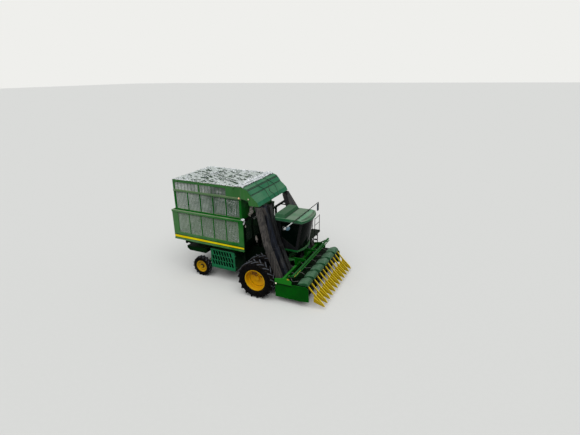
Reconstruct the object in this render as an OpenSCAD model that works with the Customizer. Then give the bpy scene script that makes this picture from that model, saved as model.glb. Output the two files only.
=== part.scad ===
// Six-row cotton harvester with a telescoping, tipping basket, in millimetres.
// Modules draw in axle coordinates: X forward from the front axle, Y to the left, Z up from the ground.
// at_axle() then moves each piece so that the origin is under the middle of the machine.

/* [Layout] */
// Front axle to the rear wall of the basket
basket_rear = 5500; // [5300:50:5900]
// Front axle to the tips of the row dividers
tip_reach = 3540; // [3400:20:3700]
// Front axle to rear axle
wheelbase = 3850; // [3800:10:3950]

/* [Drive wheels] */
// Diameter over the lugs
drive_d = 1920; // [1840:10:1960]
// Width of one drive tyre
drive_w = 510; // [440:10:530]
// Middle of the outer twin tyre from the machine's middle
outer_y = 2286; // [2240:5:2330]
// Spacing of the twin tyres
twin_gap = 762; // [700:2:800]
// Diameter of the bead seat
drive_rim_d = 1067; // [950:5:1120]
// Height of the lugs
lug_h = 42; // [25:1:55]
// Lugs on each side of a tyre
lug_count = 18; // [12:1:22]
// Width of one lug
lug_w = 62; // [40:1:80]

/* [Steered wheels] */
// Diameter of a steered tyre
steer_d = 1120; // [1040:10:1140]
// Width of a steered tyre
steer_w = 300; // [240:5:330]
// Middle of a steered tyre from the machine's middle
steer_y = 1590; // [1570:5:1620]
// Kingpin axis from the machine's middle
kingpin_y = 1360; // [1350:1:1370]
// Diameter of the steered wheel's bead seat
steer_rim_d = 610; // [540:5:660]

/* [Frame] */
// Middle of a side rail from the machine's middle
rail_y = 430; // [400:5:500]
// Height of a side rail
rail_h = 200; // [160:10:210]
// Top of the side rails
rail_top = 1330; // [1320:5:1360]
// Width of the rail's flanges
rail_w = 100; // [70:5:130]
// Plate thickness of the rails
rail_t = 14; // [8:1:20]

/* [Basket] */
// Half width over the lower basket walls
lower_y = 1700; // [1680:5:1740]
// Half width over the upper basket walls
upper_y = 1600; // [1560:5:1620]
// Underside of the basket floor
floor_z = 1960; // [1940:5:2000]
// Height of the lower basket
lower_h = 1710; // [1600:10:1800]
// Thickness of a basket wall frame
wall_t = 50; // [36:2:60]
// Front face of the lower basket behind the front axle
basket_front = 1020; // [1000:5:1060]
// Inset of the upper basket's rear wall
rear_inset = 180; // [120:5:240]
// Height of the upper rail above the lower basket
upper_rail_h = 1080; // [1000:10:1150]
// Height of the top strip above the upper rail
top_strip_h = 550; // [480:10:600]
// Window bays along one side
bays = 5; // [4:1:6]
// Width of the posts between windows
post_w = 60; // [40:5:90]
// Bars across one window
grille_bars = 7; // [3:1:9]
// Width of one grille bar
grille_w = 12; // [8:1:20]

/* [Ducts] */
// Width of one upper duct
duct_w = 230; // [200:5:235]
// Depth of one upper duct, level with the ground
duct_d = 290; // [240:5:300]
// Lean of the lower ducts from upright in degrees
duct_lean = 21; // [20:0.1:22]
// Top of the ducts
duct_top = 4430; // [4380:5:4435]
// Height of the bend above the sliding joint
duct_bend = 2720; // [2700:5:2760]
// Foot of the ducts ahead of the front axle
duct_foot_x = 1150; // [1140:5:1170]
// Height of the duct feet
duct_foot_z = 1150; // [1145:5:1180]
// Wall of a duct
duct_t = 5; // [3:0.5:8]
// Running clearance between the sliding duct sections
duct_fit = 4; // [3:0.5:6]

/* [Cab] */
// Half width of the cab body
cab_y = 800; // [760:5:820]
// Rear wall of the cab ahead of the front axle
cab_x0 = 420; // [400:5:480]
// Head of the windscreen ahead of the front axle
screen_x = 1820; // [1760:10:1880]
// Foot of the windscreen behind its head
screen_lean = 280; // [200:10:300]
// Forward bow of the windscreen
screen_bow = 150; // [100:5:180]
// Top of the cab floor
cab_floor_z = 2140; // [2120:5:2180]
// Underside of the roof
cab_top_z = 3620; // [3560:10:3660]
// Half width of the roof
roof_y = 900; // [880:5:905]
// Thickness of the cab's walls
cab_t = 50; // [36:2:60]

/* [Header] */
// Spacing of the rows
row_gap = 762; // [740:2:770]
// Half width of a row's throat
throat_y = 70; // [50:5:90]
// Underside of the row units
unit_z0 = 300; // [260:10:340]
// Top of the row cabinets
unit_z1 = 1080; // [1040:10:1100]
// Rear face of the row units
unit_x0 = 1230; // [1200:10:1280]
// Front face of the row units
unit_x1 = 2700; // [2640:10:2740]
// Length of a row's cover
cover_long = 550; // [480:10:600]
// Height of a row's cover
cover_h = 260; // [200:10:300]
// Half spacing of the two dividers of a row
prong_y = 190; // [170:2:200]
// Lift pivot ahead of the front axle
pivot_x = 350; // [340:5:380]
// Height of the lift pivot
pivot_z = 870; // [850:5:900]
// Top bar ahead of the front axle
bar_x = 2030; // [2000:5:2060]
// Height of the top bar
bar_z = 1600; // [1580:5:1620]
// Diameter of the top bar
bar_d = 114; // [90:2:130]
// End panel from the machine's middle
panel_y = 2290; // [2270:5:2310]

/* [Hidden] */
$fn = 48;
leaf = "#1f6b35";
deep = "#18492b";
wheel_yellow = "#e3ae12";
black = "#1c1d1f";
steel = "#8d9194";
bead_gap = 0.3;
seat_gap = 0.3;
run_gap = 6;

tip_off = 90;
tip_barrel_r = 60;
rear_reach = basket_rear + tip_off + tip_barrel_r;
axle_x = (rear_reach - tip_reach) / 2;
drive_r = drive_d / 2;
steer_r = steer_d / 2;
inner_y = outer_y - twin_gap;
lower_top = floor_z + lower_h;
upper_rail_z = lower_top + upper_rail_h;
top_z = upper_rail_z + top_strip_h;
rear_x = -basket_rear;
front_x = -basket_front;

module at_axle() translate([axle_x, 0, 0]) children();

// A box from its low and high sides along X, Y and Z
module block(x, y, z)
    translate([x[0], y[0], z[0]]) cube([x[1] - x[0], y[1] - y[0], z[1] - z[0]]);

// A plate whose outline is drawn in X and Z, from y0 to y0 + t
module side_plate(outline, y0, t)
    translate([0, y0 + t, 0]) rotate([90, 0, 0]) linear_extrude(t) polygon(outline);

// A plate whose outline is drawn in Y and Z, from x0 to x0 + t
module cross_plate(outline, x0, t)
    translate([x0, 0, 0]) rotate([90, 0, 90]) linear_extrude(t) polygon(outline);

// A round bar along Y, or along X
module bar_along_y(r, x, z, y0, y1) translate([x, y1, z]) rotate([90, 0, 0]) cylinder(r = r, h = y1 - y0);
module bar_along_x(r, y, z, x0, x1) translate([x0, y, z]) rotate([0, 90, 0]) cylinder(r = r, h = x1 - x0);

module both_sides() {
    children();
    mirror([0, 1, 0]) children();
}

// Wheels and tyres

// Rounded section of a tyre, as radius and place across the wheel
function tyre_outline(crown_r, bead_r, w) =
    let (s = crown_r - bead_r,
         half = [[bead_r, 0.36], [bead_r + 0.11 * s, 0.37], [bead_r + 0.16 * s, 0.43], [bead_r + 0.3 * s, 0.485],
                 [bead_r + 0.55 * s, 0.5],
                 [crown_r - 0.16 * s, 0.475], [crown_r - 0.04 * s, 0.41], [crown_r, 0.28]])
    concat([for (p = half) [p[0], p[1] * w]],
           [for (i = [len(half) - 1:-1:0]) [half[i][0], -half[i][1] * w]]);

// One leaning lug on the half of the tread at +Y, standing on the tyre at its top
module lug(top_r, base_r, w, lug_t) {
    lean = 0.45 * w;
    centre_line = [[-lean / 2, 0.01 * w], [0.1 * lean, 0.27 * w], [lean / 2, 0.5 * w]];
    ahead = [for (p = centre_line) p + [lug_t / 2, 0]];
    behind = [for (i = [2:-1:0]) centre_line[i] - [lug_t / 2, 0]];
    translate([0, 0, base_r]) linear_extrude(top_r - base_r) polygon(concat(ahead, behind));
}

// A tyre about Y with its lugs
module tyre(d, bead_d, w, lug_height, count, lug_t) {
    crown_r = d / 2 - lug_height;
    step = 360 / count;
    color(black) {
        rotate([-90, 0, 0]) rotate_extrude() polygon(tyre_outline(crown_r, bead_d / 2 + bead_gap, w));
        intersection() {
            rotate([90, 0, 0]) cylinder(d = d, h = w, center = true);
            for (i = [0:count - 1]) {
                rotate([0, i * step, 0]) lug(d / 2 + 1, crown_r - 1.6 * lug_height, w, lug_t);
                rotate([0, (i + 0.5) * step, 0]) mirror([0, 1, 0])
                    lug(d / 2 + 1, crown_r - 1.6 * lug_height, w, lug_t);
            }
        }
    }
}

// A rim about Y; disc_y is the outer face of its disc from the tyre's middle, outwards along +Y
module rim(seat_d, w, disc_y, dish) {
    seat_r = seat_d / 2;
    flange = 25;
    barrel_t = 12;
    disc_t = 16;
    half = 0.42 * w;
    rotate([-90, 0, 0]) rotate_extrude()
        polygon([[0, disc_y], [0.5 * seat_r, disc_y], [seat_r - barrel_t, disc_y + dish], [seat_r - barrel_t, half],
                 [seat_r + flange, half], [seat_r + flange, half - 10], [seat_r, half - 16], [seat_r, 16 - half],
                 [seat_r + flange, 10 - half], [seat_r + flange, -half], [seat_r - barrel_t, -half],
                 [seat_r - barrel_t, disc_y + dish - disc_t], [0.5 * seat_r, disc_y - disc_t], [0, disc_y - disc_t]]);
}

spindle_r = 70;
spindle_fit = 0.05;
spindle_len = 220;
hub_r = 210;
hub_y0 = inner_y - drive_w / 2 - 6;
disc_out_y = outer_y - 110;
disc_in_y = inner_y + 70;

// Both rims of a twin wheel with the hub that joins them, on the left side
module drive_rims() {
    cap_len = 90;
    color(wheel_yellow) difference() {
        union() {
            translate([0, outer_y, drive_r]) rim(drive_rim_d, drive_w, disc_out_y - outer_y, 40);
            translate([0, inner_y, drive_r]) rim(drive_rim_d, drive_w, disc_in_y - inner_y, -40);
            bar_along_y(hub_r, 0, drive_r, hub_y0, disc_out_y - 4);
            bar_along_y(120, 0, drive_r, disc_out_y - 8, disc_out_y + cap_len);
        }
        bar_along_y(spindle_r + spindle_fit, 0, drive_r, hub_y0 - 1, hub_y0 + spindle_len + 10);
    }
}

module drive_tyre(y) at_axle() translate([0, y, drive_r]) rotate([0, 0, y > 0 ? 0 : 180])
    tyre(drive_d, drive_rim_d, drive_w, lug_h, lug_count, lug_w);

module outer_tyre_right() drive_tyre(-outer_y);
module inner_tyre_right() drive_tyre(-inner_y);
module outer_tyre_left() drive_tyre(outer_y);
module inner_tyre_left() drive_tyre(inner_y);
module drive_rims_left() at_axle() drive_rims();
module drive_rims_right() at_axle() mirror([0, 1, 0]) drive_rims();

kingpin_r = 32;
pin_fit = 0.05;
ear_t = 36;
eye_h = 150;
stub_r = 36;
stub_y0 = kingpin_y + 72;
stub_y1 = steer_y + 20;
steer_lug_h = 24;

module steer_tyre(y) at_axle() translate([-wheelbase, y, steer_r])
    tyre(steer_d, steer_rim_d, steer_w, steer_lug_h, 16, 40);

module steer_tyre_left() steer_tyre(steer_y);
module steer_tyre_right() steer_tyre(-steer_y);

module steer_rim() {
    hub = 105;
    color(wheel_yellow) difference() {
        translate([-wheelbase, steer_y, steer_r]) union() {
            rim(steer_rim_d, steer_w, 46, 34);
            bar_along_y(hub, 0, 0, stub_y0 + run_gap - steer_y, 44);
            bar_along_y(70, 0, 0, 40, 105);
        }
        bar_along_y(stub_r + pin_fit, -wheelbase, steer_r, stub_y0 - 1, stub_y1 + 6);
    }
}

module steer_rim_left() at_axle() steer_rim();
module steer_rim_right() at_axle() mirror([0, 1, 0]) steer_rim();

// The forged knuckle: two ears on the kingpin, a back plate and the stub that carries the wheel
module knuckle() {
    ear_r = 62;
    z_ears = [eye_h / 2 + seat_gap, -eye_h / 2 - seat_gap - ear_t];
    color(leaf) translate([-wheelbase, 0, steer_r]) {
        for (z = z_ears) {
            translate([0, kingpin_y, z]) cylinder(r = ear_r, h = ear_t);
            block([-ear_r, ear_r], [kingpin_y, stub_y0], [z, z + ear_t]);
        }
        block([-ear_r, ear_r], [kingpin_y + 66, stub_y0], [z_ears[1], z_ears[0] + ear_t]);
        translate([0, kingpin_y, z_ears[1]]) cylinder(r = kingpin_r, h = eye_h + 2 * (seat_gap + ear_t));
        bar_along_y(stub_r, 0, 0, stub_y0 - 1, stub_y1);
        // Steering arm behind the kingpin
        block([-240, -40], [kingpin_y - 30, kingpin_y + 30], [z_ears[1], z_ears[1] + ear_t]);
    }
}

module knuckle_left() at_axle() knuckle();
module knuckle_right() at_axle() mirror([0, 1, 0]) knuckle();

// Frame, axles and what they carry

rail_z0 = rail_top - rail_h;
rail_in = rail_y - rail_w / 2;
rail_out = rail_y + rail_w / 2;
lift_arm_y = 600;
lift_arm_t = 40;
ear_gap = 6;
ear_y0 = lift_arm_y - 15 - ear_gap - 34;
lift_pin_r = 30;
lift_base = [480, 640];
lift_eye = [1050, 1500];
lift_cyl_y = 480;
lift_barrel_r = 45;
lift_base_pin_r = 25;
axle_tube_r = 160;
tow_r = 20;
tow_z = [rail_z0 - 20, rail_z0 + 34];

// A rail's channel section, open towards the middle of the machine
function channel(y_web, z0, w, h, t) =
    [[y_web, z0], [y_web, z0 + h], [y_web - w, z0 + h], [y_web - w, z0 + h - t], [y_web - t, z0 + h - t],
     [y_web - t, z0 + t], [y_web - w, z0 + t], [y_web - w, z0]];

module chassis() {
    rail_x1 = 260;
    cross_w = 120;
    cross_x = [110 - rear_reach, -wheelbase - 550, -wheelbase + 350, cool_x[1] + 80];
    front_beam = [160, 260];
    ear_outline = [[160, rail_z0], [160, rail_z0 + 120], [260, rail_z0 + 120], [440, 900], [540, 660], [490, 580],
                   [430, 600], [280, 820]];
    pivot_plate_x = [95, 145];
    at_axle() color(leaf) {
        both_sides() {
            cross_plate(channel(rail_out, rail_z0, rail_w, rail_h, rail_t), 10 - rear_reach,
                        rear_reach - 10 + rail_x1);
            // Ears of the header's lift pivot and of the lift cylinder
            difference() {
                union() {
                    side_plate(ear_outline, ear_y0, 34);
                    side_plate(ear_outline, lift_arm_y + lift_arm_t + 15 + ear_gap, 34);
                }
                bar_along_y(lift_pin_r + pin_fit, pivot_x, pivot_z, ear_y0 - 1, 760);
            }
            bar_along_y(lift_base_pin_r, lift_base[0], lift_base[1], lift_cyl_y - 30, ear_y0 + 1);
        }
        for (x = cross_x) block([x, x + cross_w], [-rail_out + rail_t, rail_out - rail_t],
                                [rail_z0 + rail_t, rail_top - rail_t]);
        block(front_beam, [-730, 730], [rail_z0, rail_z0 + 120]);
        // Hanger plates of the rear axle
        for (s = [-1, 1]) difference() {
            cross_plate([[-260, rail_z0 + rail_t], [260, rail_z0 + rail_t], [110, steer_r - 90], [-110, steer_r - 90]],
                        -wheelbase + (s > 0 ? pivot_plate_x[0] : -pivot_plate_x[1]), 50);
            bar_along_x(40 + pin_fit, 0, steer_r, -wheelbase - 200, -wheelbase + 200);
        }
        block([-wheelbase - 200, -wheelbase + 200], [-rail_out + rail_t, rail_out - rail_t],
              [rail_z0 + rail_t, rail_z0 + rail_t + 60]);
        // Tow plate under the rear cross member
        difference() {
            block([10 - rear_reach, cross_x[0] + cross_w], [-90, 90], tow_z);
            translate([50 - rear_reach, 0, tow_z[0] - 1]) cylinder(r = tow_r, h = 60);
        }
    }
}

module front_axle() at_axle() color(leaf) {
    drum_r = 250;
    drum_y = 1090;
    both_sides() {
        bar_along_y(axle_tube_r, 0, drive_r, -1, drum_y + 1);
        bar_along_y(drum_r, 0, drive_r, drum_y, hub_y0 - run_gap);
        bar_along_y(spindle_r, 0, drive_r, hub_y0 - run_gap - 1, hub_y0 + spindle_len);
        // Saddle under the side rail
        block([-110, 110], [rail_in, rail_out], [drive_r + 100, rail_z0]);
    }
    // Gear case in the middle
    block([-260, 150], [-210, 210], [drive_r - 260, drive_r + 140]);
}

module rear_axle() at_axle() color(leaf) {
    beam_h = 150;
    beam_w = 140;
    eye_r = 66;
    difference() {
        union() {
            block([-beam_w / 2 - 24, beam_w / 2 + 24] - [wheelbase, wheelbase], [-230, 230],
                  [steer_r - 90, steer_r + 90]);
            both_sides() {
                block([-wheelbase - beam_w / 2, -wheelbase + beam_w / 2], [0, kingpin_y - 90],
                      [steer_r - beam_h / 2, steer_r + beam_h / 2]);
                block([-wheelbase - 50, -wheelbase + 50], [kingpin_y - 120, kingpin_y - 30],
                      [steer_r - eye_h / 2, steer_r + eye_h / 2]);
                translate([-wheelbase, kingpin_y, steer_r - eye_h / 2]) cylinder(r = eye_r, h = eye_h);
            }
        }
        both_sides() translate([-wheelbase, kingpin_y, steer_r - eye_h])
            cylinder(r = kingpin_r + pin_fit, h = 2 * eye_h);
    }
    bar_along_x(40, 0, steer_r, -wheelbase - 160, -wheelbase + 160);
}

module engine() at_axle() color(steel) {
    engine_x = [650 - wheelbase, -1950];
    foot = 120;
    block(engine_x, [-330, 330], [1120, 1560]);
    block([engine_x[0] + 90, engine_x[1] - 130], [-210, 210], [980, 1121]);
    block([engine_x[0] + 60, engine_x[1] - 60], [-190, 190], [1559, 1850]);
    block([engine_x[0] + 220, engine_x[1] - 220], [189, 290], [1600, 1720]);
    bar_along_x(150, 0, 1350, engine_x[1] - 1, engine_x[1] + 70);
    bar_along_x(70, 0, 1640, engine_x[1] - 61, engine_x[1] + 70);
    both_sides() for (x = [engine_x[0] + 100, engine_x[1] - 100 - foot])
        block([x, x + foot], [329, rail_in - seat_gap], [rail_z0, rail_top]);
}

// Cooler housing on the right, open outwards behind the screen door
cool_x = [steer_r + 140 - wheelbase, -1640];
cool_z = [690, 1780];
cool_y = 1610;
cool_in = 560;
door_t = 60;
door_gap = 8;

module engine_housing() at_axle() {
    skin = 30;
    shelf = 190;
    slat = [30, 50];
    color(leaf) mirror([0, 1, 0]) {
        difference() {
            block(cool_x, [cool_in, cool_y], cool_z);
            block([cool_x[0] + skin, cool_x[1] - skin], [cool_in + skin, cool_y + 1],
                  [cool_z[0] + skin, cool_z[1] - skin]);
        }
        block([cool_x[0] + 200, cool_x[1] - 200], [rail_out, cool_in + 1], [rail_z0, rail_top]);
        // Hinge brackets of the screen door
        for (z = door_hinge_z) {
            block([cool_x[1] - 1, cool_x[1] + 46], [cool_y - 60, cool_y], [z, z + 30]);
            block([cool_x[1] + 6, cool_x[1] + 46], [cool_y - 1, cool_y + door_t - 24], [z, z + 30]);
            translate([cool_x[1] + 24, cool_y + door_t - 24, z]) cylinder(r = 22, h = 30);
            translate([cool_x[1] + 24, cool_y + door_t - 24, z + 29]) cylinder(r = 10, h = 62);
        }
    }
    // Slats of the cooler
    color(black) mirror([0, 1, 0]) for (z = [cool_z[0] + 130:90:cool_z[1] - 130])
        block([cool_x[0] + skin - 1, cool_x[1] - skin + 1], [cool_y - shelf - slat[0], cool_y - shelf],
              [z, z + slat[1]]);
}

door_hinge_z = [cool_z[0] + 160, cool_z[1] - 250];

// Screen door with rows of leaning slots
module screen_door() at_axle() mirror([0, 1, 0]) {
    // Columns: first slot from the rear edge in slots, number of slots, rows above the lowest one
    slots = [[0.5, 7, 2], [0, 8, 1], [0, 8, 0]];
    slot_h = 245;
    slot_w = 112;
    slot_lean = 62;
    margin = [115, 190];
    pitch = [(cool_x[1] - cool_x[0] - 150) / 8, slot_h + 42];
    color(leaf) {
        translate([0, cool_y + door_gap + door_t, 0]) rotate([90, 0, 0]) linear_extrude(door_t) difference() {
            translate([cool_x[0], cool_z[0]]) square([cool_x[1] - cool_x[0], cool_z[1] - cool_z[0]]);
            for (s = slots, i = [0:s[1] - 1])
                translate([cool_x[0] + margin[0] + (s[0] + i) * pitch[0], cool_z[0] + margin[1] + s[2] * pitch[1]])
                    polygon([[0, 0], [slot_w, 0], [slot_w - slot_lean, slot_h], [-slot_lean, slot_h]]);
        }
        for (z = door_hinge_z) difference() {
            union() {
                translate([cool_x[1] + 24, cool_y + door_t - 24, z + 30 + seat_gap]) cylinder(r = 22, h = 54);
                block([cool_x[1] - 40, cool_x[1] + 24], [cool_y + door_gap + door_t - 30, cool_y + door_t - 2],
                      [z + 30 + seat_gap, z + 84]);
            }
            translate([cool_x[1] + 24, cool_y + door_t - 24, z]) cylinder(r = 10 + pin_fit, h = 120);
        }
    }
}

// Fuel tank on the left with rolled edges
module side_tank() at_axle() {
    roll = 80;
    color(leaf) {
        translate([cool_x[0], 0, 0]) rotate([90, 0, 90]) linear_extrude(cool_x[1] - cool_x[0]) union() {
            translate([cool_in, cool_z[0] + 60]) square([900 - roll, cool_z[1] - cool_z[0] - 60]);
            translate([cool_in, cool_z[0] + 60 + roll]) square([900, cool_z[1] - cool_z[0] - 60 - 2 * roll]);
            for (z = [cool_z[0] + 60 + roll, cool_z[1] - roll])
                translate([cool_in + 900 - roll, z]) circle(r = roll);
        }
        block([cool_x[0] + 200, cool_x[1] - 200], [rail_out, cool_in + 1], [rail_z0, rail_top]);
    }
}

// Low boxes beside the rear of the rails
module rear_boxes() at_axle() color(leaf) both_sides() {
    x = [rear_x + 430, -wheelbase + 120];
    z = [1175, 1430];
    side_plate([[x[0], z[1]], [x[0], z[1] - 130], [x[0] + 170, z[0]], [x[1] - 70, z[0]], [x[1], z[0] + 65],
                [x[1], z[1]]], rail_out, 820);
}

// Cab and its platform

beam_y = rail_y;
beam_z = [cab_floor_z - 190, cab_floor_z - 90];
deck_z = [cab_floor_z - 130, cab_floor_z - 90];

// Beams under the cab and the deck beside its door
foot_x = screen_x - screen_lean;
deck_x = [duct_foot_x - (deck_z[0] - duct_foot_z) * tan(duct_lean) + duct_d / 2 + 60, foot_x - 20];
deck_y = [cab_y + 60, 2440];

module platform() at_axle() {
    post_x = [-60, 150];
    post = 90;
    color(leaf) {
        both_sides() {
            block([-100, foot_x + 60], [beam_y - 50, beam_y + 50], beam_z);
            for (x = post_x) block([x, x + post], [beam_y - 50, beam_y + 50], [rail_top, beam_z[0] + 1]);
        }
        for (x = [-100, 500]) block([x, x + 90], [-beam_y, beam_y], [beam_z[0] + 1, beam_z[1] - 40]);
        for (x = [deck_x[0], deck_x[1] - 90])
            block([x, x + 90], [-beam_y, deck_y[1] - 40], [beam_z[0] + 1, deck_z[0] + 1]);
        block(deck_x, deck_y, deck_z);
    }
}

// Ladder under the deck and the hand rails at both ends of the deck
module ladder() at_axle() {
    x = [deck_x[0] + 110, deck_x[1] - 150];
    y = [deck_y[1] - 100, deck_y[1] - 60];
    z = [480, deck_z[0]];
    steps = 5;
    pitch = (z[1] - z[0] - 60) / steps;
    post_r = 17;
    rail_r = 14;
    rail_height = 950;
    rail_y = [1700, deck_y[1] - 40];
    color(black) {
        for (s = [deck_x[0] + 40, deck_x[1] - 40]) {
            for (v = rail_y) translate([s, v, deck_z[1]]) cylinder(r = post_r, h = rail_height);
            for (h = [0.55, 0.95]) bar_along_y(rail_r, s, deck_z[1] + h * rail_height, rail_y[0], rail_y[1]);
        }
        for (s = x) block([s, s + 40], y, z);
        for (i = [0:steps - 1])
            block([x[0] + 39, x[1] + 1], [y[0], y[0] + 150], [z[0] + 40 + i * pitch, z[0] + 70 + i * pitch]);
    }
}

// Floor pan of the cab with the rounded front edge of its platform
module cab_floor() at_axle() color(leaf) {
    nose = screen_bow + 70;
    nose_r = 1600;
    translate([0, 0, cab_floor_z - 90]) linear_extrude(90) union() {
        translate([cab_x0, -cab_y]) square([foot_x - cab_x0, 2 * cab_y]);
        intersection() {
            translate([foot_x - 1, -cab_y]) square([nose + 60, 2 * cab_y]);
            translate([foot_x + nose - nose_r, 0]) circle(r = nose_r);
        }
    }
}

cab_high = cab_top_z - cab_floor_z;

// Place of the leaning windscreen's edge at height z, less a distance back
function front_at(z, back) = [screen_x - back - screen_lean * (cab_top_z - z) / cab_high, z];

// Corner posts, rear wall and sills; the windows are left open
module cab_frame() at_axle() color(black) {
    side = [[cab_x0, cab_floor_z], front_at(cab_floor_z, 0), front_at(cab_top_z, 0), [cab_x0, cab_top_z]];
    gap = 6;
    slant = 1.1 * gap;
    door_hole = [[door_x0 - gap, door_z[0] - gap], front_at(door_z[0] - gap, door_back - slant),
                 front_at(door_z[1] + gap, door_back - slant), [door_x0 - gap, door_z[1] + gap]];
    rear_window = [[-cab_y + 160, cab_floor_z + 700], [cab_y - 160, cab_floor_z + 700],
                   [cab_y - 160, cab_top_z - 160], [-cab_y + 160, cab_top_z - 160]];
    difference() {
        side_plate(side, -cab_y, cab_t);
        side_plate(side_window, -cab_y - 1, cab_t + 2);
    }
    difference() {
        side_plate(side, cab_y - cab_t, cab_t);
        side_plate(door_hole, cab_y - cab_t - 1, cab_t + 2);
    }
    difference() {
        cross_plate([[-cab_y + cab_t - 1, cab_floor_z], [cab_y - cab_t + 1, cab_floor_z],
                     [cab_y - cab_t + 1, cab_top_z], [-cab_y + cab_t - 1, cab_top_z]], cab_x0, cab_t);
        cross_plate(rear_window, cab_x0 - 1, cab_t + 2);
    }
    // Front sill and header of the windscreen
    for (z = [cab_floor_z, cab_top_z - 60])
        block([front_at(z, 70)[0], front_at(z, 2)[0]], [-cab_y + cab_t - 1, cab_y - cab_t + 1], [z, z + 60]);
    // Brackets that hold the door's hinge pins
    for (z = cab_hinge_z) {
        block([door_x0 - 60, door_x0 - 2], [cab_y - 1, cab_y + 30], [z, z + 24]);
        translate([door_x0 - 14, cab_y + 30, z]) cylinder(r = 14, h = 24);
        translate([door_x0 - 14, cab_y + 30, z + 23]) cylinder(r = 7, h = 52);
    }
}

side_window = [[cab_x0 + 230, cab_floor_z + 620], front_at(cab_floor_z + 120, 130),
               front_at(cab_top_z - 70, 130), [cab_x0 + 230, cab_top_z - 70]];
door_x0 = 960;
door_back = 110;
door_z = [cab_floor_z + 32, cab_top_z - 58];
leaf_t = 36;
cab_hinge_z = [cab_floor_z + 260, cab_top_z - 420];
door_hole_at = [[door_x0 + 70, door_z[0] + 130], front_at(door_z[0] + 130, door_back + 70),
                front_at(door_z[1] - 70, door_back + 70), [door_x0 + 70, door_z[1] - 70]];

// Left door: a frame with its hinge eyes
module cab_door() at_axle() color(black) {
    outline = [[door_x0, door_z[0]], front_at(door_z[0], door_back), front_at(door_z[1], door_back),
               [door_x0, door_z[1]]];
    eye_h = 44;
    difference() {
        side_plate(outline, cab_y - leaf_t, leaf_t);
        side_plate(door_hole_at, cab_y - leaf_t - 1, leaf_t + 2);
    }
    for (z = cab_hinge_z) difference() {
        union() {
            translate([door_x0 - 14, cab_y + 30, z + 24 + seat_gap]) cylinder(r = 14, h = eye_h);
            block([door_x0 - 14, door_x0 + 60], [cab_y + 20, cab_y + 40], [z + 24 + seat_gap, z + 24 + eye_h]);
            block([door_x0 + 20, door_x0 + 60], [cab_y - 1, cab_y + 21], [z + 24 + seat_gap, z + 24 + eye_h]);
        }
        translate([door_x0 - 14, cab_y + 30, z]) cylinder(r = 7 + pin_fit, h = 120);
    }
    // Handle near the front edge
    handle = front_at(door_z[0] + 560, door_back + 62);
    block([handle[0] - 26, handle[0]], [cab_y - 1, cab_y + 36], [handle[1], handle[1] + 160]);
}

module door_glass() at_axle() color([0.2, 0.25, 0.25, 0.5])
    side_plate(door_hole_at, cab_y - leaf_t / 2 - pane_t / 2, pane_t);

pane_t = 8;

// Panes: the curved, leaning windscreen, the right side and the rear window
module cab_glass() at_axle() color([0.2, 0.25, 0.25, 0.5]) {
    screen_t = 12;
    chord = cab_y - 10;
    screen_r = (chord * chord + screen_bow * screen_bow) / (2 * screen_bow);
    lean = atan2(screen_lean, cab_high);
    intersection() {
        block([foot_x - screen_lean, screen_x + 2 * screen_bow], [-cab_y, cab_y], [cab_floor_z, cab_top_z]);
        translate([foot_x, 0, cab_floor_z]) rotate([0, lean, 0]) translate([0, 0, -cab_high / 2])
            linear_extrude(2 * cab_high) difference() {
                intersection() {
                    translate([screen_bow - screen_r, 0]) circle(r = screen_r, $fn = 240);
                    translate([0, -cab_y]) square([2 * screen_bow, 2 * cab_y]);
                }
                translate([screen_bow - screen_r, 0]) circle(r = screen_r - screen_t, $fn = 240);
            }
    }
    side_plate(side_window, -cab_y + cab_t / 2 - pane_t / 2, pane_t);
    block([cab_x0 + cab_t / 2, cab_x0 + cab_t / 2 + pane_t], [-cab_y + 160, cab_y - 160],
          [cab_floor_z + 700, cab_top_z - 160]);
}

roof_z = 3800;
roof_x = [280, screen_x + 220];
roof_outline = [[roof_x[0], 3700], [roof_x[0] + 20, 3780], [1500, roof_z], [1620, roof_z],
                [roof_x[1] - 100, roof_z - 60], [roof_x[1], roof_z - 110], [roof_x[1] - 10, cab_top_z],
                [roof_x[0] + 20, cab_top_z]];

// Roof with the cooling unit's hump at the rear
module cab_roof() at_axle() color(leaf) {
    nose_r = 2000;
    straight = screen_x - 60;
    hump = [[300, 900], [360, 840]];
    intersection() {
        side_plate(roof_outline, -roof_y, 2 * roof_y);
        translate([0, 0, cab_top_z - 1]) linear_extrude(400) union() {
            translate([roof_x[0], -roof_y]) square([straight - roof_x[0], 2 * roof_y]);
            intersection() {
                translate([straight - 1, -roof_y]) square([roof_x[1] - straight + 60, 2 * roof_y]);
                translate([roof_x[1] - nose_r, 0]) circle(r = nose_r);
            }
        }
    }
    hull() {
        block(hump[0], [-roof_y + 60, roof_y - 60], [3770, 3790]);
        block(hump[1], [-roof_y + 130, roof_y - 130], [3940, 3950]);
    }
}

module cab_seat() at_axle() color(black) {
    seat_x = 700;
    column = [foot_x - 190, foot_x - 260];
    wheel_z = cab_floor_z + 730;
    block([seat_x + 60, seat_x + 360], [-180, 180], [cab_floor_z, cab_floor_z + 340]);
    block([seat_x, seat_x + 500], [-260, 260], [cab_floor_z + 340, cab_floor_z + 470]);
    side_plate([[seat_x, cab_floor_z + 460], [seat_x + 130, cab_floor_z + 460], [seat_x + 50, cab_floor_z + 1080],
                [seat_x - 60, cab_floor_z + 1080]], -250, 500);
    // Console on the right and the steering column
    block([seat_x - 40, seat_x + 620], [-540, -320], [cab_floor_z, cab_floor_z + 620]);
    side_plate([[column[0], cab_floor_z], [column[0] + 100, cab_floor_z], [column[1] + 60, wheel_z - 10],
                [column[1], wheel_z - 10]], -50, 100);
    translate([column[1] + 20, 0, wheel_z]) rotate([0, -20, 0]) rotate_extrude()
        translate([190, 0]) circle(r = 16);
    translate([column[1] + 20, 0, wheel_z - 8]) rotate([0, -20, 0]) block([-180, 180], [-20, 20], [-8, 10]);
}

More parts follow.
